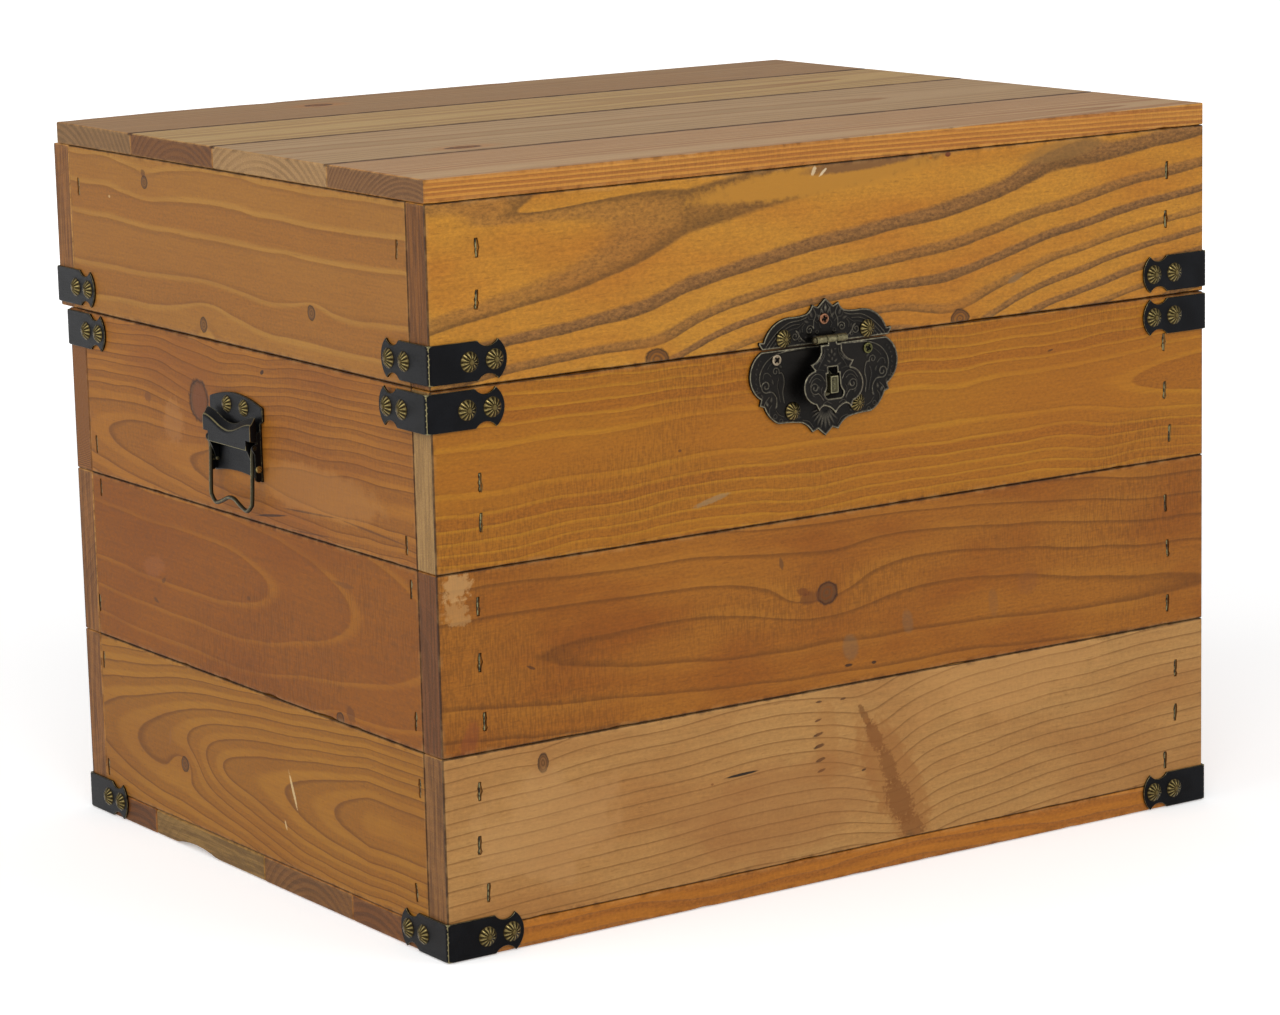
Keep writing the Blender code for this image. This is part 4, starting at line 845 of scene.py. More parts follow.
def traced(start, *moves):  # (x, z), or (x, z, bulge, steps) along an arc
    points = [start]
    for x, z, *curved in moves:
        points += arcTo(points[-1], (x, z), curved[0], 3 * curved[1]) if curved else [(x, z)]
    return points


def mirrored(half):
    return list(half) + [(-x, z) for x, z in reversed(half) if abs(x) > 1e-6]


def throughPoints(points, steps=6):  # a smooth line through the points
    marks = [Vector(point) for point in points]
    marks = [marks[0] * 2 - marks[1], *marks, marks[-1] * 2 - marks[-2]]
    curve = []
    for p0, p1, p2, p3 in zip(marks, marks[1:], marks[2:], marks[3:]):
        for i in range(steps):
            t = i / steps
            curve.append(0.5 * (2 * p1 + (p2 - p0) * t + (2 * p0 - 5 * p1 + 4 * p2 - p3) * t * t
                                + (3 * p1 - p0 - 3 * p2 + p3) * t ** 3))
    return [tuple(point) for point in curve + [marks[-2]]]


def evenly(outline, step):  # the closed outline with no side longer than step
    marks = []
    for a, b in zip(outline, outline[1:] + outline[:1]):
        count = max(1, round(hypot(b[0] - a[0], b[1] - a[1]) / step + 0.3))
        marks += [(a[0] + (b[0] - a[0]) * i / count, a[1] + (b[1] - a[1]) * i / count) for i in range(count)]
    return marks


def insideOf(points, outline):
    x, z = points[:, 0], points[:, 1]
    inside = np.zeros(len(points), bool)
    for (x0, z0), (x1, z1) in zip(outline, outline[1:] + outline[:1]):
        if z0 != z1:
            inside ^= ((z0 > z) != (z1 > z)) & (x < (x1 - x0) * (z - z0) / (z1 - z0) + x0)
    return inside


def awayFrom(points, line, closed=False):
    marks = np.asarray(line, float)
    ends = np.roll(marks, -1, axis=0) if closed else marks[1:]
    nearest = np.full(len(points), 1e9)
    for a, b in zip(marks, ends):
        run = b - a
        share = np.clip((points - a) @ run / max(run @ run, 1e-12), 0, 1)
        nearest = np.minimum(nearest, np.linalg.norm(points - a - share[:, None] * run, axis=1))
    return nearest


def fillSheet(outline, step, insets=(), holes=(), extra=()):
    # fills an outline with points and triangles; insets are rows of points along its edges
    loops = [evenly(line, step) for line in (outline, *holes)]
    borders = [mark for loop in loops for mark in loop]
    low, high = np.min(borders, axis=0), np.max(borders, axis=0)
    rows = int((high[1] - low[1]) / (0.87 * step)) + 1
    columns = int((high[0] - low[0]) / step) + 2
    grid = np.array([(low[0] + step * (i + 0.5 * (j % 2)), low[1] + 0.87 * step * j)
                     for j in range(rows) for i in range(columns)])

    def edgeDistance(points):
        return np.min([awayFrom(points, loop, True) for loop in loops], axis=0)

    def within(points):
        kept = insideOf(points, loops[0])
        for hole in loops[1:]:
            kept &= ~insideOf(points, hole)
        return kept

    clear = (max(insets) if insets else 0) + 0.55 * step
    chosen = [grid[within(grid) & (edgeDistance(grid) > clear)]]
    for inset in insets:
        moved = []
        for loop in loops:
            for before, here, after in zip(loop[-1:] + loop[:-1], loop, loop[1:] + loop[:1]):
                along = Vector((after[0] - before[0], after[1] - before[1])).normalized()
                moved += [(here[0] - along.y * inset * s, here[1] + along.x * inset * s) for s in (-1, 1)]
        moved = np.array(moved)
        chosen.append(moved[within(moved) & (edgeDistance(moved) > 0.9 * inset)])
    if len(extra):
        chosen.append(np.array(extra, float))
    inner = np.concatenate(chosen)
    edges, start = [], 0
    for loop in loops:
        edges += [(start + i, start + (i + 1) % len(loop)) for i in range(len(loop))]
        start += len(loop)

    def triangles(points):
        found = geometry.delaunay_2d_cdt([Vector(point) for point in points], edges, [], 1, 1e-7)
        marks = np.array([tuple(point) for point in found[0]])
        faces = np.array([corners for corners in found[2] if len(corners) == 3])
        middles = marks[faces].mean(axis=1)
        return marks, faces[within(middles)]

    points, faces = triangles([*borders, *map(tuple, inner)])
    _, backFaces = triangles(borders)
    return {"points": points, "faces": faces, "backFaces": backFaces, "rim": len(borders), "edges": edges,
            "distance": edgeDistance(points)}


def raiseSheet(work, filled, put, front, back, wear=0, hollow=0, fullBack=False):
    # a closed sheet whose front follows a height for each point; its back is plain
    marks = filled["points"]
    count = len(marks)
    heights = np.broadcast_to(front, count)
    points = [put(x, z, h) for (x, z), h in zip(marks, heights)]
    rim = count if fullBack else filled["rim"]
    points += [put(x, z, back) for x, z in marks[:rim]]
    faces = [tuple(int(i) for i in corners) for corners in filled["faces"]]
    behind = filled["faces"] if fullBack else filled["backFaces"]
    faces += [tuple(int(i) + count for i in corners[::-1]) for corners in behind]
    faces += [(a, b, b + count, a + count) for a, b in filled["edges"]]
    rubbed = np.concatenate([np.broadcast_to(wear, count), np.zeros(rim)])
    dirty = np.concatenate([np.broadcast_to(hollow, count), np.zeros(rim)])
    work.add(points, faces, rubbed, dirty)


def rimmed(filled, fall, width):  # how much of its rim's rounding each point has
    return fall * np.clip(1 - filled["distance"] / width, 0, 1) ** 2


def edgeWear(filled, amount, width):  # wear that fades from the edges inward
    return amount * np.exp(-(filled["distance"] / width) ** 2)


def hoop(put, along, radius, out, z, sides=28):  # a ring of points about a line along the wall
    return [put(along, z + radius * sin(tau * i / sides), out + radius * cos(tau * i / sides))
            for i in range(sides)]


def rodInto(work, put, radius, x0, x1, out, z, sides=28, soft=0.25):  # a round rod with softened, rubbed ends
    end = ((0, radius - soft, 0.6), (0.3 * soft, radius - 0.3 * soft, 0.7), (soft, radius, 0.42))
    marks = [(x0 + inward, r, wear) for inward, r, wear in end]
    marks += [(x1 - inward, r, wear) for inward, r, wear in end[::-1]]
    work.loft([hoop(put, x, r, out, z, sides) for x, r, _ in marks], [mark[2] for mark in marks])


def domeInto(work, put, x, z, face, radius, height, flutes=0, turn=0):
    # a nail's head: a smooth dome, or a fluted rosette with a button at its middle
    sides = 4 * flutes or 28
    shares = (1, 1, 0.95, 0.86, 0.74, 0.6, 0.46, 0.34, 0.27, 0.22, 0.13, 0.04)
    rings, wear, hollow = [], [], []
    for step, share in enumerate(shares):
        rings.append([])
        spread = min(1, max(0, (share - 0.24) / 0.14)) * min(1, max(0, (1.02 - share) / 0.1))
        for i in range(sides):
            angle = turn + tau * i / sides
            petal = abs(cos(flutes * (angle - turn) / 2)) ** 0.8 if flutes else 1
            up = height * (1 - share ** 2.4) * 0.94 - 0.5 * spread * (1 - petal)
            if flutes and share < 0.25:
                up = height * 0.9 + 0.1 * height * sqrt(1 - (share / 0.25) ** 2)
            up = -0.3 if step == 0 else max(up, 0.12)
            rings[-1].append(put(x + share * radius * cos(angle), z + share * radius * sin(angle), face + up))
            wear.append(0.6 * petal ** 3 * spread if flutes and share > 0.24 else 0.32)
            groove = spread * (1 - petal) ** 0.7 if flutes else 0
            hollow.append(max(groove, 0.9 if share > 0.97 else 0, 0.5 if flutes and share == 0.27 else 0))
    work.loft(rings, wear, hollow)


def screwInto(work, put, x, z, face, radius, turn=0.4):  # a flat screw head with a cross recess
    sides = 48
    profile = [(1, -0.3), (1, 0.25), (0.93, 0.48), (0.8, 0.58), (0.66, 0.6)]
    profile += [(share, 0.6) for share in (0.56, 0.46, 0.36, 0.26, 0.16, 0.06)]
    rings, wear, hollow = [], [], []
    for share, up in profile:
        rings.append([])
        for i in range(sides):
            u, v = share * cos(tau * i / sides), share * sin(tau * i / sides)
            cross = max(0, min(1, (0.17 - min(abs(u), abs(v))) / 0.06)) * (1 if share < 0.6 else 0)
            rings[-1].append(put(x + radius * (u * cos(turn) - v * sin(turn)),
                                 z + radius * (u * sin(turn) + v * cos(turn)), face + up - 0.75 * cross))
            wear.append(0.55 if 0.75 < share < 0.97 else 0.1)
            # the cross and the flat middle of the head count as hollow and take the dark recess colour:
            # painted shade for a recess that the flat middle lacks
            hollow.append(max(cross, 1 if share < 0.4 else 0))
    work.loft(rings, wear, hollow)


print("metal finishes ready:", len(finish))


# Corner brackets: a notched strap folded round the corner, with two rosette nails on each leg
bracket = Settings(
    height=20, leg=45.8, bend=0.6, notch=12, notchDepth=3.1, horn=5, fit=0.3, sheet=1.2, nails=(22.2, 36.9),
    nailRadius=5.3, nailHeight=2.7, step=1.6, edgeWear=0.62, foldWear=1)


def bracketOutline():
    shape = bracket
    end = shape.leg + shape.bend * (pi / 4 - 1) - shape.sheet
    horn, notch = end - shape.horn, end - shape.horn - shape.notch
    half = traced((0, shape.height), (notch, shape.height),
                  (horn, shape.height, -shape.notchDepth, 5), (horn, 0, shape.horn, 5),
                  (notch, 0, -shape.notchDepth, 5), (0, 0))
    return half + [(-x, z) for x, z in reversed(half[1:-1])]


def bracketFrame(corner, turn):  # folds the flat strap round the corner
    shape = bracket
    bend, radius = shape.bend * pi / 4, shape.bend
    centre = radius - shape.fit
    spin = Matrix.Rotation(turn, 3, "Z")

    def put(along, z, out):
        if along > bend:
            x, y = centre + along - bend, -shape.fit - out
        elif along < -bend:
            x, y = -shape.fit - out, centre - along - bend
        else:
            angle = radians(225) + along / bend * radians(45)
            x, y = centre + (radius + out) * cos(angle), centre + (radius + out) * sin(angle)
        return corner + spin @ Vector((x, y, z)) * 0.001
    return put


folds = [bracket.bend * pi / 4 * share for share in (-1, -0.55, -0.25, 0, 0.25, 0.55, 1)]
strap = fillSheet(bracketOutline(), bracket.step, insets=(0.3, 0.7),
                  extra=[(x, z) for x in (*folds, -1.6, 1.6) for z in np.arange(0.8, 19.4, 0.95)])
strapWear = np.maximum(edgeWear(strap, bracket.edgeWear, 0.22),
                       bracket.foldWear * np.exp(-(np.abs(strap["points"][:, 0]) / 0.08) ** 2))
corners = {"front_left": (-1, -1, 0), "front_right": (1, -1, 90), "back_right": (1, 1, 180),
           "back_left": (-1, 1, 270)}
proud = (bracket.fit + bracket.sheet + bracket.nailHeight) / 1000
for tier in ("bottom_bracket", "rim_bracket", "lid_bracket"):
    for number, (place, (sideX, sideY, turned)) in enumerate(corners.items()):
        node = f"{tier}_{place}"
        low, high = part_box(node)
        corner = Vector((low.x + proud if sideX < 0 else high.x - proud,
                         low.y + proud if sideY < 0 else high.y - proud, low.z))
        sheet, nails = Metalwork(), Metalwork()
        height = bracket.sheet - rimmed(strap, 0.28, 0.3)
        raiseSheet(sheet, strap, bracketFrame(corner, radians(turned)), height, 0, strapWear, fullBack=True)
        sheet.make("sheet_" + node, "blackened sheet", bodyOf(node), "blackened_sheet", node)
        for leg, side in ((0, 1), (-pi / 2, -1)):
            put = wallFrame(corner, radians(turned) + leg)
            for spot in bracket.nails:
                domeInto(nails, put, side * spot, bracket.height / 2, bracket.fit + bracket.sheet,
                         bracket.nailRadius, bracket.nailHeight, 12, 0.7 * number + spot)
        nails.make("nails_" + node, "antique brass", bodyOf(node), "antique_brass")
print("brackets: 12 with 48 rosette nails")


# Clasp. Both plates are pressed with raised rims, scrolls and leaves. Places on them are x from the
# middle and z from the parting line
clasp = Settings(
    x=-0.012, aside=0.0011, fit=0.3, plate=1.6, drop=0.001, gap=0.001, step=0.46, base=1,
    rimRise=0.52, rimIn=0.62, rimWidth=0.42, ringRise=0.34,
    nailRadius=4.8, nailHeight=2.7, upperNails=(27.2, 4.6), lowerNails=(21, -33), axisOut=5.8, axisUp=1.4,
    knuckle=2.2, knuckleLength=6.5, pin=1.2, pinHead=1.9, tilt=5, tongueSheet=1.6, tongueOffset=0.2,
    screwRadius=2.9, sunk=0.2,
    screws={  # finish, body, x from the middle, z from the floor, turn
        "top": ("copper screw", "lid", 0, 304, 0.2), "left": ("pale screw", "chest", -31, 285.5, 0.7),
        "right": ("yellow screw", "chest", 28.4, 285.6, 1.1)})


def scroll(x, z, radius, start, turns, *tail):  # a spiral that opens into a tail
    curl = []
    steps = max(8, int(abs(turns) * 20))
    for i in range(steps + 1):
        t = i / steps
        r, angle = radius * (0.22 + 0.78 * t), start + turns * tau * t
        curl.append((x + r * cos(angle), z + r * sin(angle)))
    return curl + (throughPoints([curl[-1], *tail])[1:] if tail else [])


# lines: width, rise, points. curls: width, rise, x, z, radius, start, turns, points of the tail
# petals: x, z, half length, half width, angle, rise. rings: x, z, radius
upperArt = Settings(
    lines=[(0.32, 0.42, (38.6, 1.4), (34.6, 5.6), (29.6, 9.6), (23.4, 12.6), (16.4, 13.2), (12.2, 14.4)),
    (0.3, 0.38, (36.6, 1), (32.8, 4.8), (28.2, 8.2), (22.8, 10.8), (17, 11.2)),
    (0.28, 0.32, (34.2, 0.8), (31, 4), (27, 6.8), (22.4, 8.8), (18, 9.4), (14.4, 11.6)),
    (0.3, 0.38, (4.8, 12.2), (3.6, 14.6), (2.8, 17.6), (1.5, 19.9)),
    (0.3, 0.34, (13.6, 11), (15.2, 9.2), (15, 6.8)),
    (0.28, 0.3, (28.8, 1.6), (27, 3.6), (24.2, 3.2), (22.8, 1.6)),
    (0.28, 0.32, (5.4, 10.6), (8, 12.6), (10.4, 13), (11.6, 15.2)),
    (0.28, 0.3, (0, 12.2), (2.6, 11.6), (4, 9.8), (3.2, 7.6))],
    curls=[(0.34, 0.42, 10.4, 7.4, 2.6, 0.5, 1.4, (7.8, 11.6), (6.4, 15.2), (7.8, 18.4)),
    (0.34, 0.42, 19.8, 5.2, 2.8, 3.6, -1.3, (15.6, 3.2), (13.4, 1.6))],
    petals=[(0, 18.4, 2.8, 0.8, 90, 0.42), (2.2, 16.8, 2.8, 0.7, 62, 0.4), (4.6, 14.2, 2.4, 0.7, 40, 0.38),
    (9.4, 15.6, 2.4, 0.8, 66, 0.36), (12.6, 12, 2.2, 0.7, 20, 0.36), (25.4, 6.4, 2.2, 0.6, -20, 0.3),
    (31.6, 2.6, 1.8, 0.5, -45, 0.3), (7, 3.2, 1.7, 0.8, 0, 0.3), (16.6, 7.4, 1.6, 0.6, 70, 0.3),
    (13, 3.8, 1.5, 0.5, 20, 0.3)], rings=[(16.8, 2.8, 0.8), (5.6, 6, 0.9)])
lowerArt = Settings(
    lines=[(0.34, 0.44, (12.6, -0.9), (22, -1.1), (30.4, -2), (36.6, -4.8), (40.6, -9.2), (42, -13.6),
        (41.4, -17.8)), (0.3, 0.36, (34.6, -13.2), (36.6, -11.4), (39, -11.6), (39.8, -14.2)),
    (0.28, 0.34, (29.6, -14.6), (30.6, -18.6), (29.6, -23), (28.8, -27.4)),
    (0.32, 0.38, (36, -24), (38.4, -26.4), (39.4, -28.6)),
    (0.3, 0.36, (34.4, -28.2), (36, -30.6), (36, -33.2)),
    (0.3, 0.34, (31.8, -31.4), (30, -33.8), (26.8, -35.4)),
    (0.3, 0.34, (14.6, -38.6), (10.6, -39.8), (8, -43)),
    (0.28, 0.32, (27.6, -4), (31.6, -5), (35.4, -7.6), (37.2, -9.6))],
    curls=[(0.36, 0.46, 37.9, -18.2, 3.5, 0.2, -1.35, (33.4, -22), (31.2, -25.6), (31.6, -30)),
    (0.28, 0.36, 38.2, -18.4, 2.2, 0.9, -0.8),
    (0.34, 0.42, 31.6, -11, 2.4, 2.4, 1.2, (27.4, -12.4), (26.2, -17), (27.2, -22.4), (26.4, -28))],
    petals=[(37.4, -27.4, 2.2, 0.8, 60, 0.4), (34.6, -25.4, 2, 0.7, 100, 0.4),
    (31.6, -29.6, 1.8, 0.7, -60, 0.36), (17, -36.8, 1.6, 0.6, -20, 0.3), (33.6, -16.2, 2, 0.6, 70, 0.36),
    (28.4, -8.6, 1.8, 0.6, 40, 0.34), (35.2, -21.2, 1.6, 0.5, 20, 0.34), (40.4, -24, 1.6, 0.5, -60, 0.34)],
    rings=[(32.4, -34.6, 1.15), (28.6, -37.3, 1), (24.6, -38.8, 0.85), (43.9, -20.6, 0.8)])
tongueArt = Settings(
    lines=[(0.3, 0.4, (15.6, -21.4), (13.6, -18.6), (10.4, -17.4), (7.6, -18.6), (5.6, -21.6)),
    (0.28, 0.36, (8, -21.2), (10.6, -19.6), (13.4, -20.6), (15.2, -23.6)),
    (0.28, 0.36, (5.2, -7.6), (7.6, -10.2), (10.6, -12.4)),
    (0.28, 0.32, (4.4, -5.4), (5, -8.8), (7.8, -12.4), (9.2, -14.8)),
    (0.28, 0.36, (2.6, -33.6), (5.6, -32.4), (8.6, -34.4)),
    (0.26, 0.32, (5.6, -16), (8, -15.4), (10.4, -15.4)),
    (0.26, 0.32, (7.2, -24.4), (8.4, -26.4), (7.8, -28.6))],
    curls=[(0.32, 0.42, 12.2, -24.6, 3.4, 0.4, -1.4, (8.8, -29), (7.2, -31.4)),
    (0.28, 0.36, 12.6, -24.4, 1.9, 1.2, -0.7)], petals=[(0, -6.4, 1.7, 0.6, 90, 0.42),
    (1.9, -8.2, 1.6, 0.5, 58, 0.4), (2.3, -11.4, 1.7, 0.55, 35, 0.4), (0, -10.2, 1.5, 0.5, 90, 0.4),
    (4.6, -13.4, 1.8, 0.5, 12, 0.38), (2.4, -5.4, 1.2, 0.45, 20, 0.36), (9.6, -24.4, 2, 0.6, 70, 0.32),
    (6.6, -28, 1.8, 0.6, -60, 0.32), (13.6, -28.4, 1.8, 0.5, 40, 0.34)], rings=[(7.2, -10.8, 0.6)])
for k in range(9):  # chevrons between the lower plate's rim and its inner line
    bend = radians(52 - 13.5 * k)
    x, z = 36.2 + 8.4 * cos(bend) - 0.2, -13.4 + 11.4 * sin(bend)
    lowerArt.petals.append((x, z, 1.25, 0.42, degrees(bend) + (48 if k % 2 else -48), 0.34))
for k, reach in enumerate((12.4, 12.2, 11.6, 11.4, 10.6, 9.6)):  # half of the fluted leaf at the lower tip
    bend = radians(-90 + 15.5 * k)
    lowerArt.petals.append((0.62 * reach * cos(bend), -33 + 0.62 * reach * sin(bend), 0.44 * reach,
                            0.8 - 0.06 * k, degrees(bend), 0.4))


def relief(filled, art, rimAt=0):
    # height in millimetres above the plate's base, with the wear on its crests and dirt in its hollows
    points, edge = filled["points"], filled["distance"]
    x, z = np.abs(points[:, 0] - rimAt), points[:, 1]
    folded = np.column_stack([x, z])
    rise, start = clasp.rimRise, clasp.rimIn
    height = rise * np.exp(-((edge - start) / clasp.rimWidth) ** 2)
    height = np.where(edge < start, np.maximum(height, rise - 0.9 * (start - edge) ** 2), height)
    lines = [(width, rise, throughPoints(marks)) for width, rise, *marks in art.lines]
    lines += [(width, rise, scroll(*given)) for width, rise, *given in art.curls]
    for width, rise, line in lines:
        height = np.maximum(height, rise * np.exp(-(awayFrom(folded, line) / (width * 1.15)) ** 2))
    for atX, atZ, radius in art.rings:
        away = np.abs(np.hypot(x - atX, z - atZ) - radius)
        height = np.maximum(height, clasp.ringRise * np.exp(-(away / 0.34) ** 2))
    for atX, atZ, length, width, angle, rise in art.petals:
        c, s = cos(radians(angle)), sin(radians(angle))
        u, v = (x - atX) * c + (z - atZ) * s, (z - atZ) * c - (x - atX) * s
        inside = 1 - (u / length) ** 2 - (v / (width * (1.15 - 0.35 * u / length))) ** 2
        leaf = rise * np.sqrt(np.clip(inside, 0, 1)) * (1 - 0.35 * np.exp(-(v / 0.16) ** 2))
        height = np.maximum(height, leaf)
    share = np.clip(height / 0.4, 0, 1)
    wear = np.maximum(0.46 * share ** 1.6, 0.66 * np.exp(-((edge - 0.22) / 0.17) ** 2))
    hollow = np.clip(1.3 * np.exp(-((share - 0.2) / 0.26) ** 2) * (share < 0.55), 0, 1)
    return height, wear, 0.85 * hollow


frontY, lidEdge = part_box("front_board_upper")[0].y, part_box("lid_board_front")[0].z
upperEdge = lidEdge - clasp.drop
claspFace = clasp.fit + clasp.plate
hingeUp = lidEdge + clasp.axisUp / 1000
upperPut = wallFrame((clasp.x + clasp.aside, frontY, upperEdge))
lowerPut = wallFrame((clasp.x, frontY, upperEdge - clasp.gap))
hingePut = wallFrame((clasp.x + clasp.aside, frontY, hingeUp))
onAxis = (clasp.x + clasp.aside, frontY - clasp.axisOut / 1000, hingeUp)


def addPlate(outline, art, put, name, body, *blocks):  # a clasp's plate, with plain blocks under its knuckles
    filled = fillSheet(outline, clasp.step, insets=(0.25, 0.55))
    height, wear, hollow = relief(filled, art)
    work = Metalwork()
    raiseSheet(work, filled, put, clasp.fit + clasp.base + height, clasp.fit, wear, hollow)
    for block in blocks:
        work.loft(block)
    work.make("relief_" + name, "clasp relief", body, "blackened_sheet", name)


def addClaspNails(put, spot, node, body):
    nails = Metalwork()
    for side in (-1, 1):
        domeInto(nails, put, side * spot[0], spot[1], claspFace - clasp.sunk, clasp.nailRadius,
                 clasp.nailHeight, 12, side)
    nails.make("nails_" + node, "antique brass", body, "antique_brass")


def addUpperPlate():
    outline = mirrored(traced(
        (0, 23.3), (5, 19), (8.6, 20.6), (12.5, 16.1, -0.7, 3), (22, 15.4, -0.3, 2),
        (40, 3.8, 3.6, 7), (42.8, 4.2), (43.2, 3), (41, 0)))
    end, middle = 1.5 * clasp.knuckleLength, clasp.knuckleLength / 2
    blocks = [[[hingePut(x, z, out) for x, z in ((x0, -1.2), (x1, -1.2), (x1, 1.2), (x0, 1.2))]
               for out in (clasp.fit, clasp.axisOut - 1)]
              for x0, x1 in ((-end, -middle - 0.2), (middle + 0.2, end))]
    addPlate(outline, upperArt, upperPut, "clasp_upper_plate", "lid", *blocks)
    trim = Metalwork()
    for x0, x1 in ((-end, -middle - 0.3), (middle + 0.3, end)):
        rodInto(trim, hingePut, clasp.knuckle, x0, x1, clasp.axisOut, 0)
    trim.make("knuckles_clasp_upper_plate", "knuckle brass", "lid", "antique_brass")
    addClaspNails(upperPut, clasp.upperNails, "clasp_upper_plate", "lid")


def addLowerPlate():
    outline = mirrored(traced(
        (40.5, 0), (41.2, -25, 7.4, 10), (42.3, -28.2), (39.2, -29.3), (30, -38.9, 1.4, 4),
        (15.2, -40.1, -0.4, 2), (8.5, -45.8, -0.8, 3), (4.7, -44.4), (0, -48.4)))
    addPlate(outline, lowerArt, lowerPut, "clasp_lower_plate", "chest")
    addClaspNails(lowerPut, clasp.lowerNails, "clasp_lower_plate", "chest")


def addClaspScrew(place):
    kind, body, x, z, turn = clasp.screws[place]
    screw = Metalwork()
    put = wallFrame((clasp.x + x / 1000, frontY, z / 1000))
    screwInto(screw, put, 0, 0, claspFace - clasp.sunk, clasp.screwRadius, turn)
    screw.make("screw_clasp_" + place, kind, body, "antique_brass")


def addTongue():
    tab, clear, aside = clasp.knuckleLength / 2 - 0.3, clasp.knuckle + 0.5, clasp.aside * 1000
    half = traced((6.9, -clear), (6.9, -6.5), (14.2, -12.2, -1.3, 4), (11.6, -15.6), (12.2, -33.4, 7.4, 10),
                  (10.3, -37.2), (6.6, -34.6, -0.8, 3), (0, -39.3, -0.9, 4))
    top = [(aside - tab, -clear), (aside - tab, -0.5), (aside + tab, -0.5), (aside + tab, -clear)]
    keyhole = traced((2.9, -14.7), (2.9, -18.1), (4.1, -18.1), (4.1, -24), (5.7, -27.6, -0.3, 2),
                     (4, -31, 0.9, 3))
    outline, keyhole = ([(x - aside, z) for x, z in line]
                        for line in (mirrored(half) + top, mirrored(keyhole)))
    filled = fillSheet(outline, 0.42, insets=(0.25, 0.55), holes=(keyhole,))
    height, wear, hollow = relief(filled, tongueArt, -aside)
    height = np.where(filled["points"][:, 1] > -clear, 0, height)
    base = clasp.tongueOffset + clasp.tongueSheet - 0.5
    work, trim = Metalwork(), Metalwork()
    put = wallFrame(onAxis, tilt=radians(clasp.tilt))
    raiseSheet(work, filled, put, base + height, clasp.tongueOffset, wear, hollow)
    work.make("relief_clasp_tongue", "clasp relief", "hasp", "blackened_sheet", "clasp_tongue")
    middle = clasp.knuckleLength / 2 - 0.25
    rodInto(trim, wallFrame(onAxis), clasp.knuckle, -middle, middle, 0, 0)
    trim.make("knuckle_clasp_tongue", "knuckle brass", "hasp", "antique_brass")


def addClaspPin():
    end = 1.5 * clasp.knuckleLength
    work = Metalwork()
    rodInto(work, hingePut, clasp.pin, -end - 0.6, end + 0.02, clasp.axisOut, 0)
    head = ((0.9, -0.05), (1, 0.15), (1, 0.55), (0.86, 1.05), (0.6, 1.5), (0.3, 1.8), (0.06, 1.9))
    work.loft([hoop(hingePut, -end - 0.3 - along, share * clasp.pinHead, clasp.axisOut, 0)
               for share, along in head], [0, 0.1, 0.1, 0.3, 0.2, 0.1, 0.1])
    work.make("brass_clasp_pin", "knuckle brass", "lid", "antique_brass", "clasp_pin")


staple = Settings(
    width=5.1, height=9.2, below=23.6, reach=10.3, margin=2.2, foot=1, soft=0.35, studs=(-2.4, 0.2, 2.6))


def addStaple():
    work = Metalwork()
    put = wallFrame((clasp.x, frontY, hingeUp - staple.below / 1000))
    foot, reach = claspFace + clasp.fit, staple.reach
    halfX, halfZ = staple.width / 2, staple.height / 2
    oval = [(cos(tau * i / 40) * (halfX + staple.margin), sin(tau * i / 40) * (halfZ + staple.margin))
            for i in range(40)]
    work.loft([[put(x * s, z * s, out) for x, z in oval]
               for s, out in ((1, foot), (1, foot + 0.7), (0.92, foot + staple.foot))], [0, 0.3, 0.5])

    def boxRing(margin, out):
        x, z, soft = halfX - margin, halfZ - margin, staple.soft
        return [put(a, b, out) for a, b in (
            (x, -z + soft), (x, z - soft), (x - soft, z), (-x + soft, z), (-x, z - soft), (-x, -z + soft),
            (-x + soft, -z), (x - soft, -z))]
    work.loft([boxRing(m, out) for m, out in (
        (0, foot + 0.5), (0, reach - 0.4), (0.12, reach - 0.12), (0.4, reach), (0.75, reach),
        (1, reach - 0.3), (1.5, reach - 0.35))],
        [0, 0.2, 0.6, 0.5, 0.3, 0.1, 0.1], [0, 0, 0, 0, 0.2, 0.7, 0.2])
    for z in staple.studs:  # punched studs on its face
        domeInto(work, put, 0, z, reach - 0.35, 0.75, 0.42)
    work.make("brass_clasp_staple", "staple brass", "chest", "antique_brass", "clasp_staple")


addUpperPlate()
addClaspScrew("top")
addLowerPlate()
addClaspScrew("left")
addClaspScrew("right")
addTongue()
addClaspPin()
addStaple()
print("clasp: two plates, tongue, pin and staple")


# Handles: backplate with ears, pressed lever with a wavy fold, and a wire bail
handle = Settings(
    y=0.002, up=0.2296, halfWidth=28.7, top=32.8, archRise=4.8, shoulder=25.5, foot=7.1, footArch=2.5,
    nailBelow=2.2, nailApart=9.2, earInner=24.4, earDepth=4.8, earCorner=1, earTop=19.8, earTopDepth=3.3,
    eyeMargin=0.5, sheet=1.2, fit=0.3, pivotOut=2.85, pivotRadius=0.55, eyelet=1.9, eyeletProud=0.4,
    arm=0.95, armThick=1.2, shin=4.2, nailRadius=4.8, nailHeight=2.7)
lever = Settings(
    tongue=20.8, bottom=10, shoulder=15.3, face=6.8, sheet=0.9, lip=25.8, lipEnd=23.7, drop=6, bend=1.2,
    reach=3.2, rise=3.4, flangeBottom=14.3, flangeBack=3.8, columns=44)
bail = Settings(
    wire=1.1, up=11.5, out=4.7, halfWidth=22.7, drop=34.7, foot=15.5, corner=7, notch=4.8, bend=1.6,
    lean=2.5, sides=18)


def sideFrame(put, x0, side):  # an outline in (out, up) that stands at x0 and grows away from the middle
    return lambda out, up, along: put(side * (x0 + along), up, out)


def edgeSheet(work, outline, put, thickness):  # a flat sheet with rubbed edges on its outer face
    filled = fillSheet(outline, 0.9, insets=(0.28,))
    raiseSheet(work, filled, put, thickness - rimmed(filled, 0.18, 0.28), 0, edgeWear(filled, 0.5, 0.24))


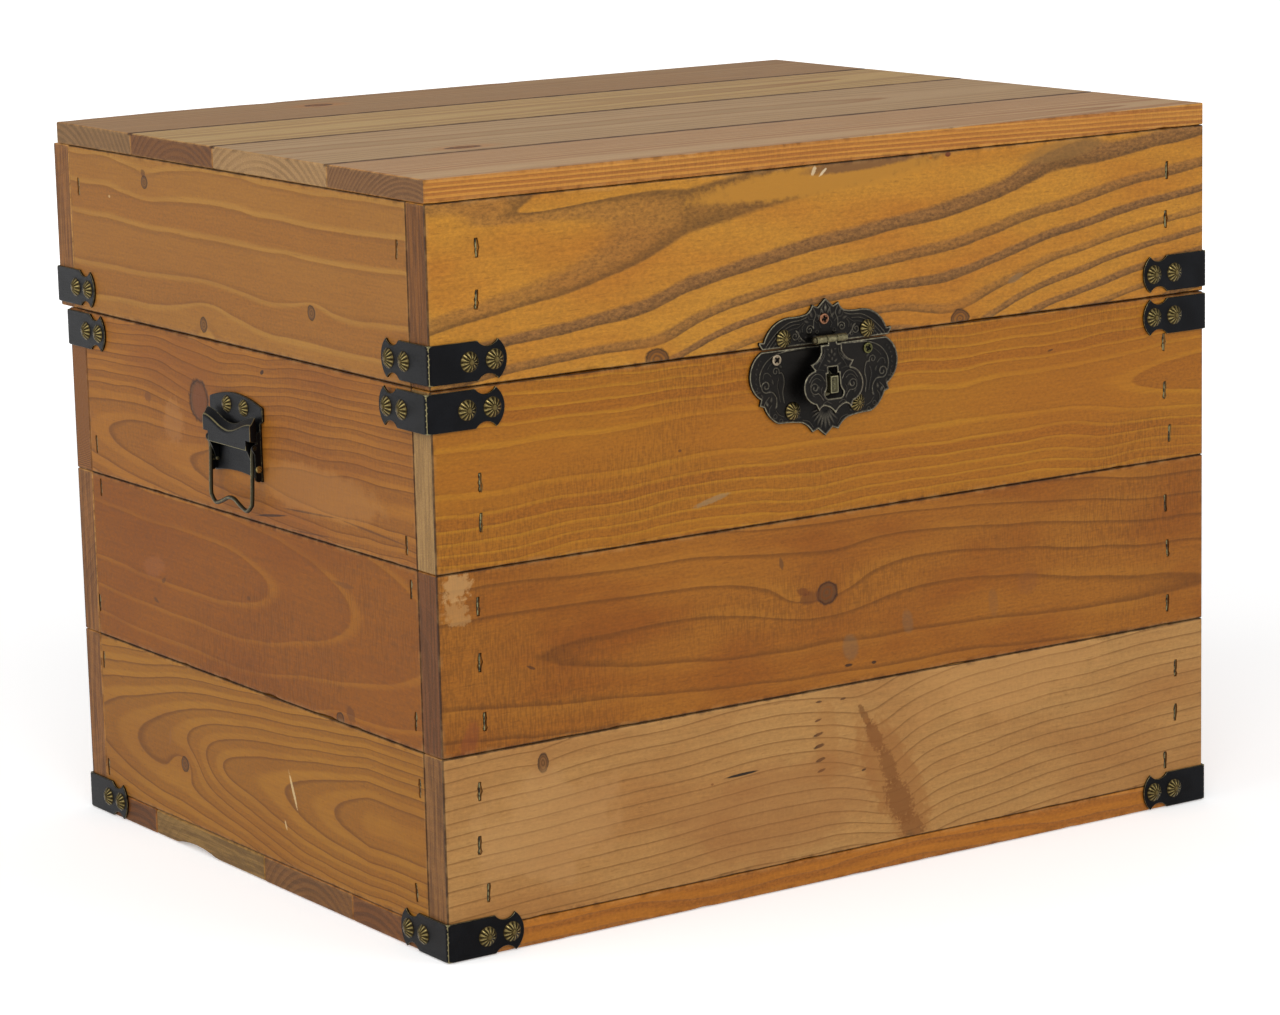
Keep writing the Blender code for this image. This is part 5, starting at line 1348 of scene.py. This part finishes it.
def addHandlePlate(side, put):
    shape = handle
    width, outer, plate = shape.halfWidth, shape.earInner + shape.sheet, shape.fit + shape.sheet
    foot = -shape.foot
    half = traced((0, shape.top + shape.archRise), (width, shape.top, 1, 5), (width, shape.shoulder),
                  (outer, shape.shoulder - (width - outer) / 2), (outer, foot), (shape.earInner, foot),
                  (0, foot + shape.footArch, -0.6, 4))
    filled = fillSheet(mirrored(half), 1.5, insets=(0.3, 0.7))
    work, trim = Metalwork(), Metalwork()
    raiseSheet(work, filled, put, plate - rimmed(filled, 0.25, 0.3), shape.fit, edgeWear(filled, 0.55, 0.3))
    eye = bail.wire + 0.1 + shape.eyeMargin
    step, deep, low = bail.up + eye, bail.out + eye, foot + shape.earDepth / 2
    ear = traced((plate - 0.2, shape.earTop), (plate - 0.2, low),
                 (shape.earDepth, low, -(shape.earDepth - shape.fit) / 2.1, 6),
                 (shape.earDepth, bail.up - 2 * eye), (deep, bail.up - eye / 2),
                 (deep, step - shape.earCorner), (deep - shape.earCorner, step),
                 (shape.earTopDepth, step), (shape.earTopDepth, shape.earTop - shape.earCorner),
                 (shape.earTopDepth - shape.earCorner, shape.earTop))
    hole = [(bail.out + 1.2 * cos(tau * i / 20), bail.up + 1.2 * sin(tau * i / 20)) for i in range(20)]
    filled = fillSheet(ear, 0.8, insets=(0.25,), holes=(hole,))
    wear = edgeWear(filled, 0.45, 0.26)
    for end in (-1, 1):
        raiseSheet(work, filled, sideFrame(put, shape.earInner, end), shape.sheet, 0, wear)
        x0, x1 = sorted((end * (shape.earInner - 0.2), end * (outer + shape.eyeletProud)))
        rodInto(trim, put, shape.eyelet, x0, x1, shape.pivotOut, 0, soft=0.35)
        x0, x1 = sorted((end * (bail.halfWidth - bail.wire), end * outer))
        rodInto(trim, put, shape.pivotRadius, x0, x1, shape.pivotOut, 0, sides=14, soft=0.1)
        domeInto(trim, put, end * shape.nailApart, shape.top - shape.nailBelow, plate, shape.nailRadius,
                 shape.nailHeight, 12, 0.4 * end)
    node = f"handle_plate_{side}"
    work.make("sheet_" + node, "blackened sheet", "chest", "blackened_sheet", node)
    trim.make("nails_" + node, "antique brass", "chest", "antique_brass")


def hoodPath(share):  # the lever's inner side in (out, up), with the wear that each place has
    up = lever.lipEnd - lever.drop * cos(share * pi / 2) ** 2
    face, bend = lever.face, lever.bend
    rounded = [(face - bend * 0.09, up - bend * 0.52, 0), (face - bend * 0.3, up - bend * 0.2, 0.9),
               (face - bend * 0.62, up + bend * 0.12, 0.25), (face - bend, up + bend * 0.4, 0)]
    return [(face, lever.bottom, 0.95), (face, lever.bottom + 0.35, 0.25), (face, lever.shoulder, 0),
            (face, up - bend - 0.8, 0), (face, up - bend, 0.1), *rounded,
            (face - lever.reach * 0.8, up + lever.rise * 0.82, 0),
            (face - lever.reach, up + lever.rise, 0.55)]


def thickened(path, distance):
    moved = []
    for i, (out, up, wear) in enumerate(path):
        before, after = path[max(i - 1, 0)], path[min(i + 1, len(path) - 1)]
        along = Vector((after[0] - before[0], after[1] - before[1])).normalized()
        moved.append((out + along.y * distance, up - along.x * distance, wear))
    return moved


def addLever(side, put):
    # put has its origin on the lever's pivot line
    work = Metalwork()
    columns = lever.columns
    step = lever.tongue / lever.lip
    inner = [step * (2 * i / columns - 1) for i in range(columns + 1)]
    shares = [-1, -0.985, -(1 + step) / 2, *inner, (1 + step) / 2, 0.985, 1]
    rows = len(hoodPath(0))
    points, wears = [], []
    for layer in (lever.sheet, 0):
        for share in shares:
            for out, up, wear in thickened(hoodPath(share), layer):
                points.append(put(share * lever.lip, up, out))
                rubbed = wear if layer else 0
                if abs(share) > 0.98 and layer:
                    rubbed = max(rubbed, 0.9 if abs(share) > 0.99 else 0.3)
                if abs(abs(share) - step) < 1e-6 and up < lever.shoulder and layer:
                    rubbed = 0.8
                wears.append(rubbed)
    behind = len(shares) * rows
    faces, borders = [], {}
    for i in range(len(shares) - 1):
        first = 2 if i < 3 or i >= len(shares) - 4 else 0
        for j in range(first, rows - 1):
            a = i * rows + j
            quad = (a, a + rows, a + rows + 1, a + 1)
            faces += [quad, tuple(behind + k for k in reversed(quad))]
            for p, q in zip(quad, quad[1:] + quad[:1]):
                if (q, p) in borders:
                    del borders[(q, p)]
                else:
                    borders[(p, q)] = True
    faces += [(p, q, q + behind, p + behind) for p, q in borders]
    used = sorted({i for corners in faces for i in corners})
    renamed = {old: new for new, old in enumerate(used)}
    work.add([points[i] for i in used], [[renamed[i] for i in corners] for corners in faces],
             [wears[i] for i in used])
    middle = thickened(hoodPath(1), lever.sheet / 2)
    flange = [(lever.flangeBack, lever.flangeBottom), (middle[2][0], lever.flangeBottom + lever.sheet)]
    flange += [(out, up) for out, up, _ in middle[3:-1]]
    flange.append((lever.flangeBack, middle[-1][1] - lever.sheet))
    back, boss, pivot = handle.pivotOut - handle.arm, handle.arm, handle.pivotOut
    arm = [(middle[0][0], lever.bottom + 0.15), (middle[0][0], lever.flangeBottom),
           (pivot, lever.flangeBottom), (back, lever.flangeBottom - boss), (back, boss),
           (pivot - boss + 0.15, 0.15), (pivot + boss - 0.15, 0.15), (pivot + 2 * boss, handle.shin)]
    for end in (-1, 1):
        edgeSheet(work, flange, sideFrame(put, lever.lip - lever.sheet - 0.04, end), lever.sheet)
        inside = lever.tongue - handle.armThick - 0.04
        edgeSheet(work, arm, sideFrame(put, inside, end), handle.armThick)
        x0, x1 = sorted((end * (inside - 0.15), end * (handle.earInner - 0.5)))
        rodInto(work, put, boss + 0.04, x0, x1, pivot, 0, sides=20, soft=0.15)
    node = f"handle_lever_{side}"
    work.make("sheet_" + node, "blackened sheet", f"lever_{side}", "blackened_sheet", node)


def addBail(side, origin, turn):
    width, foot, drop, corner = bail.halfWidth, bail.foot, -bail.drop, bail.corner
    elbow = [(width + bail.bend * (1 - sin(a)), -bail.bend * (1 - cos(a)))
             for a in (0, pi / 8, pi / 4, 3 * pi / 8)]
    leg = throughPoints([
        (width, -1.3 * bail.bend), (width, drop + corner), (0.8 * width + 0.2 * foot, drop + 0.4 * corner),
        (0.4 * width + 0.6 * foot, drop + 0.06 * corner), (foot, drop),
        (0.6 * foot, drop + 0.42 * bail.notch), (0.25 * foot, drop + 0.88 * bail.notch),
        (0, drop + bail.notch)])
    half = [(handle.earInner + handle.sheet - 0.1, 0), *elbow, *leg]
    route = [Vector((x, 0, z)) for x, z in half] + [Vector((-x, 0, z)) for x, z in reversed(half[:-1])]
    spin = Matrix.Rotation(turn, 3, "Z") @ Matrix.Rotation(-radians(bail.lean), 3, "X")
    angles = [tau * k / bail.sides for k in range(bail.sides)]
    level, rings = Vector((0, -1, 0)), []
    for i, spot in enumerate(route):
        along = (route[min(i + 1, len(route) - 1)] - route[max(i - 1, 0)]).normalized()
        across = along.cross(level)
        rings.append([origin + spin @ (spot + bail.wire * (level * cos(angle) + across * sin(angle))) * 0.001
                      for angle in angles])
    work = Metalwork()
    # the wear is greatest along the wire's outer side over its whole length: a painted highlight in
    # worn-brass colour
    work.loft(rings, [0.44 * max(0, cos(angle)) ** 3 for angle in angles] * len(route))
    node = f"handle_bail_{side}"
    work.make("wire_" + node, "handle wire", f"bail_{side}", "antique_brass", node)


for side, sign in (("left", -1), ("right", 1)):
    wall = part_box(f"{side}_board_upper")[0 if sign < 0 else 1].x
    pivotAt = Vector((wall, handle.y, handle.up))
    put = wallFrame(pivotAt, sign * pi / 2)
    addHandlePlate(side, put)
    addLever(side, put)
    addBail(side, pivotAt + Vector((sign * bail.out / 1000, 0, bail.up / 1000)), sign * pi / 2)
print("handles: 2")


# Hinges keep their CAD solids, and get screws
hinge = Settings(screws=(-17, 0, 17), fromTop=0.01, fromFoot=0.008, leaf=0.0015, headRadius=2.6, sunk=0.2)
for side in ("left", "right"):
    for name, body in ((f"body_hinge_leaf_{side}", "chest"), (f"lid_hinge_leaf_{side}", "lid")):
        refinish(frame["nodes"][name], finish["blackened sheet"])
        low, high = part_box(name)
        face = high.y if body == "lid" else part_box("back_board_upper")[1].y + hinge.leaf
        up = high.z - hinge.fromTop if body == "lid" else low.z + hinge.fromFoot
        screws, put = Metalwork(), wallFrame(((low.x + high.x) / 2, face, up), pi)
        for x in hinge.screws:
            screwInto(screws, put, x, 0, -hinge.sunk, hinge.headRadius, 0.3 * x)
        screws.make("screws_" + name, "antique brass", body, "antique_brass")
print("hinges: 4 leaves with 12 screws")


# Stage, light and camera
setup = Settings(
    azimuth=-33.98, elevation=11.086, roll=-1.373, place=(-1.3064, -1.9422, 0.6312), focal=4202.3,
    imageWidth=1280, sensor=36, floor="f2f2f2", floorGlow=0.35, farGlow=0.8, world=0.66, floorSize=30,
    aim=(0, 0, 0.2), key=Settings(spot=(-1.6, -2.6, 2.6), size=2.2, power=52),
    fill=Settings(spot=(-2.8, 0.4, 1.6), size=2.4, power=28),
    front=Settings(spot=(1.6, -2.8, 1.4), size=2, power=21))


def addStage():
    floorMaterial, web, shader = newMaterial("studio floor")
    web.join(paint(setup.floor), shader["Base Color"])
    web.join(0.9, shader["Roughness"])
    web.join((1, 1, 1, 1), shader["Emission Color"])
    path = web.node("ShaderNodeLightPath").outputs
    seen = web.math("MAXIMUM", path["Is Camera Ray"], path["Is Glossy Ray"])
    spot = web.node("ShaderNodeTexCoord").outputs["Object"]
    far = web.step(web.vector("LENGTH", spot), 0.8, 2.4, setup.floorGlow, setup.farGlow)
    web.join(seen * far, shader["Emission Strength"])
    mesh = bpy.data.meshes.new("floor")
    size = setup.floorSize
    mesh.from_pydata([(x * size, y * size, -0.0005) for x, y in ((-1, -1), (1, -1), (1, 1), (-1, 1))], [],
                     [(0, 1, 2, 3)])
    link("studio_floor", mesh, floorMaterial)
    scene.world = bpy.data.worlds.new("studio")
    scene.world.use_nodes = True
    web = Web(scene.world.node_tree)
    path = web.node("ShaderNodeLightPath").outputs
    seen = web.math("MAXIMUM", path["Is Camera Ray"], path["Is Transmission Ray"])
    ambient = web.made("ShaderNodeBackground", {"Strength": setup.world})
    blend = web.made("ShaderNodeMixShader", (seen, ambient, web.made("ShaderNodeBackground")))
    web.join(blend, web.node("ShaderNodeOutputWorld").inputs[0])


def addLight(name, look):
    data = bpy.data.lights.new(name, "AREA")
    data.energy = look.power
    data.size = look.size
    lamp = bpy.data.objects.new(name, data)
    lamp.location = look.spot
    lamp.rotation_euler = (Vector(setup.aim) - Vector(look.spot)).to_track_quat("-Z", "Y").to_euler()
    scene.collection.objects.link(lamp)


def addCamera():
    turn, tilt, roll = (radians(angle) for angle in (setup.azimuth, setup.elevation, setup.roll))
    back = Vector((sin(turn) * cos(tilt), -cos(turn) * cos(tilt), sin(tilt)))
    level = Vector((cos(turn), sin(turn), 0))
    upright = back.cross(level)
    right = level * cos(roll) + upright * sin(roll)
    up = upright * cos(roll) - level * sin(roll)
    data = bpy.data.cameras.new("camera")
    data.sensor_width = setup.sensor
    data.lens = setup.sensor * setup.focal / setup.imageWidth
    camera = bpy.data.objects.new("camera", data)
    matrix = Matrix((right, up, back)).transposed().to_4x4()
    matrix.translation = Vector(setup.place)
    camera.matrix_world = matrix
    scene.collection.objects.link(camera)
    scene.camera = camera


addStage()
for name in ("key", "fill", "front"):
    addLight(name + "_light", setup[name])
addCamera()
scene.view_settings.view_transform = "Standard"
print("stage, light and camera set")
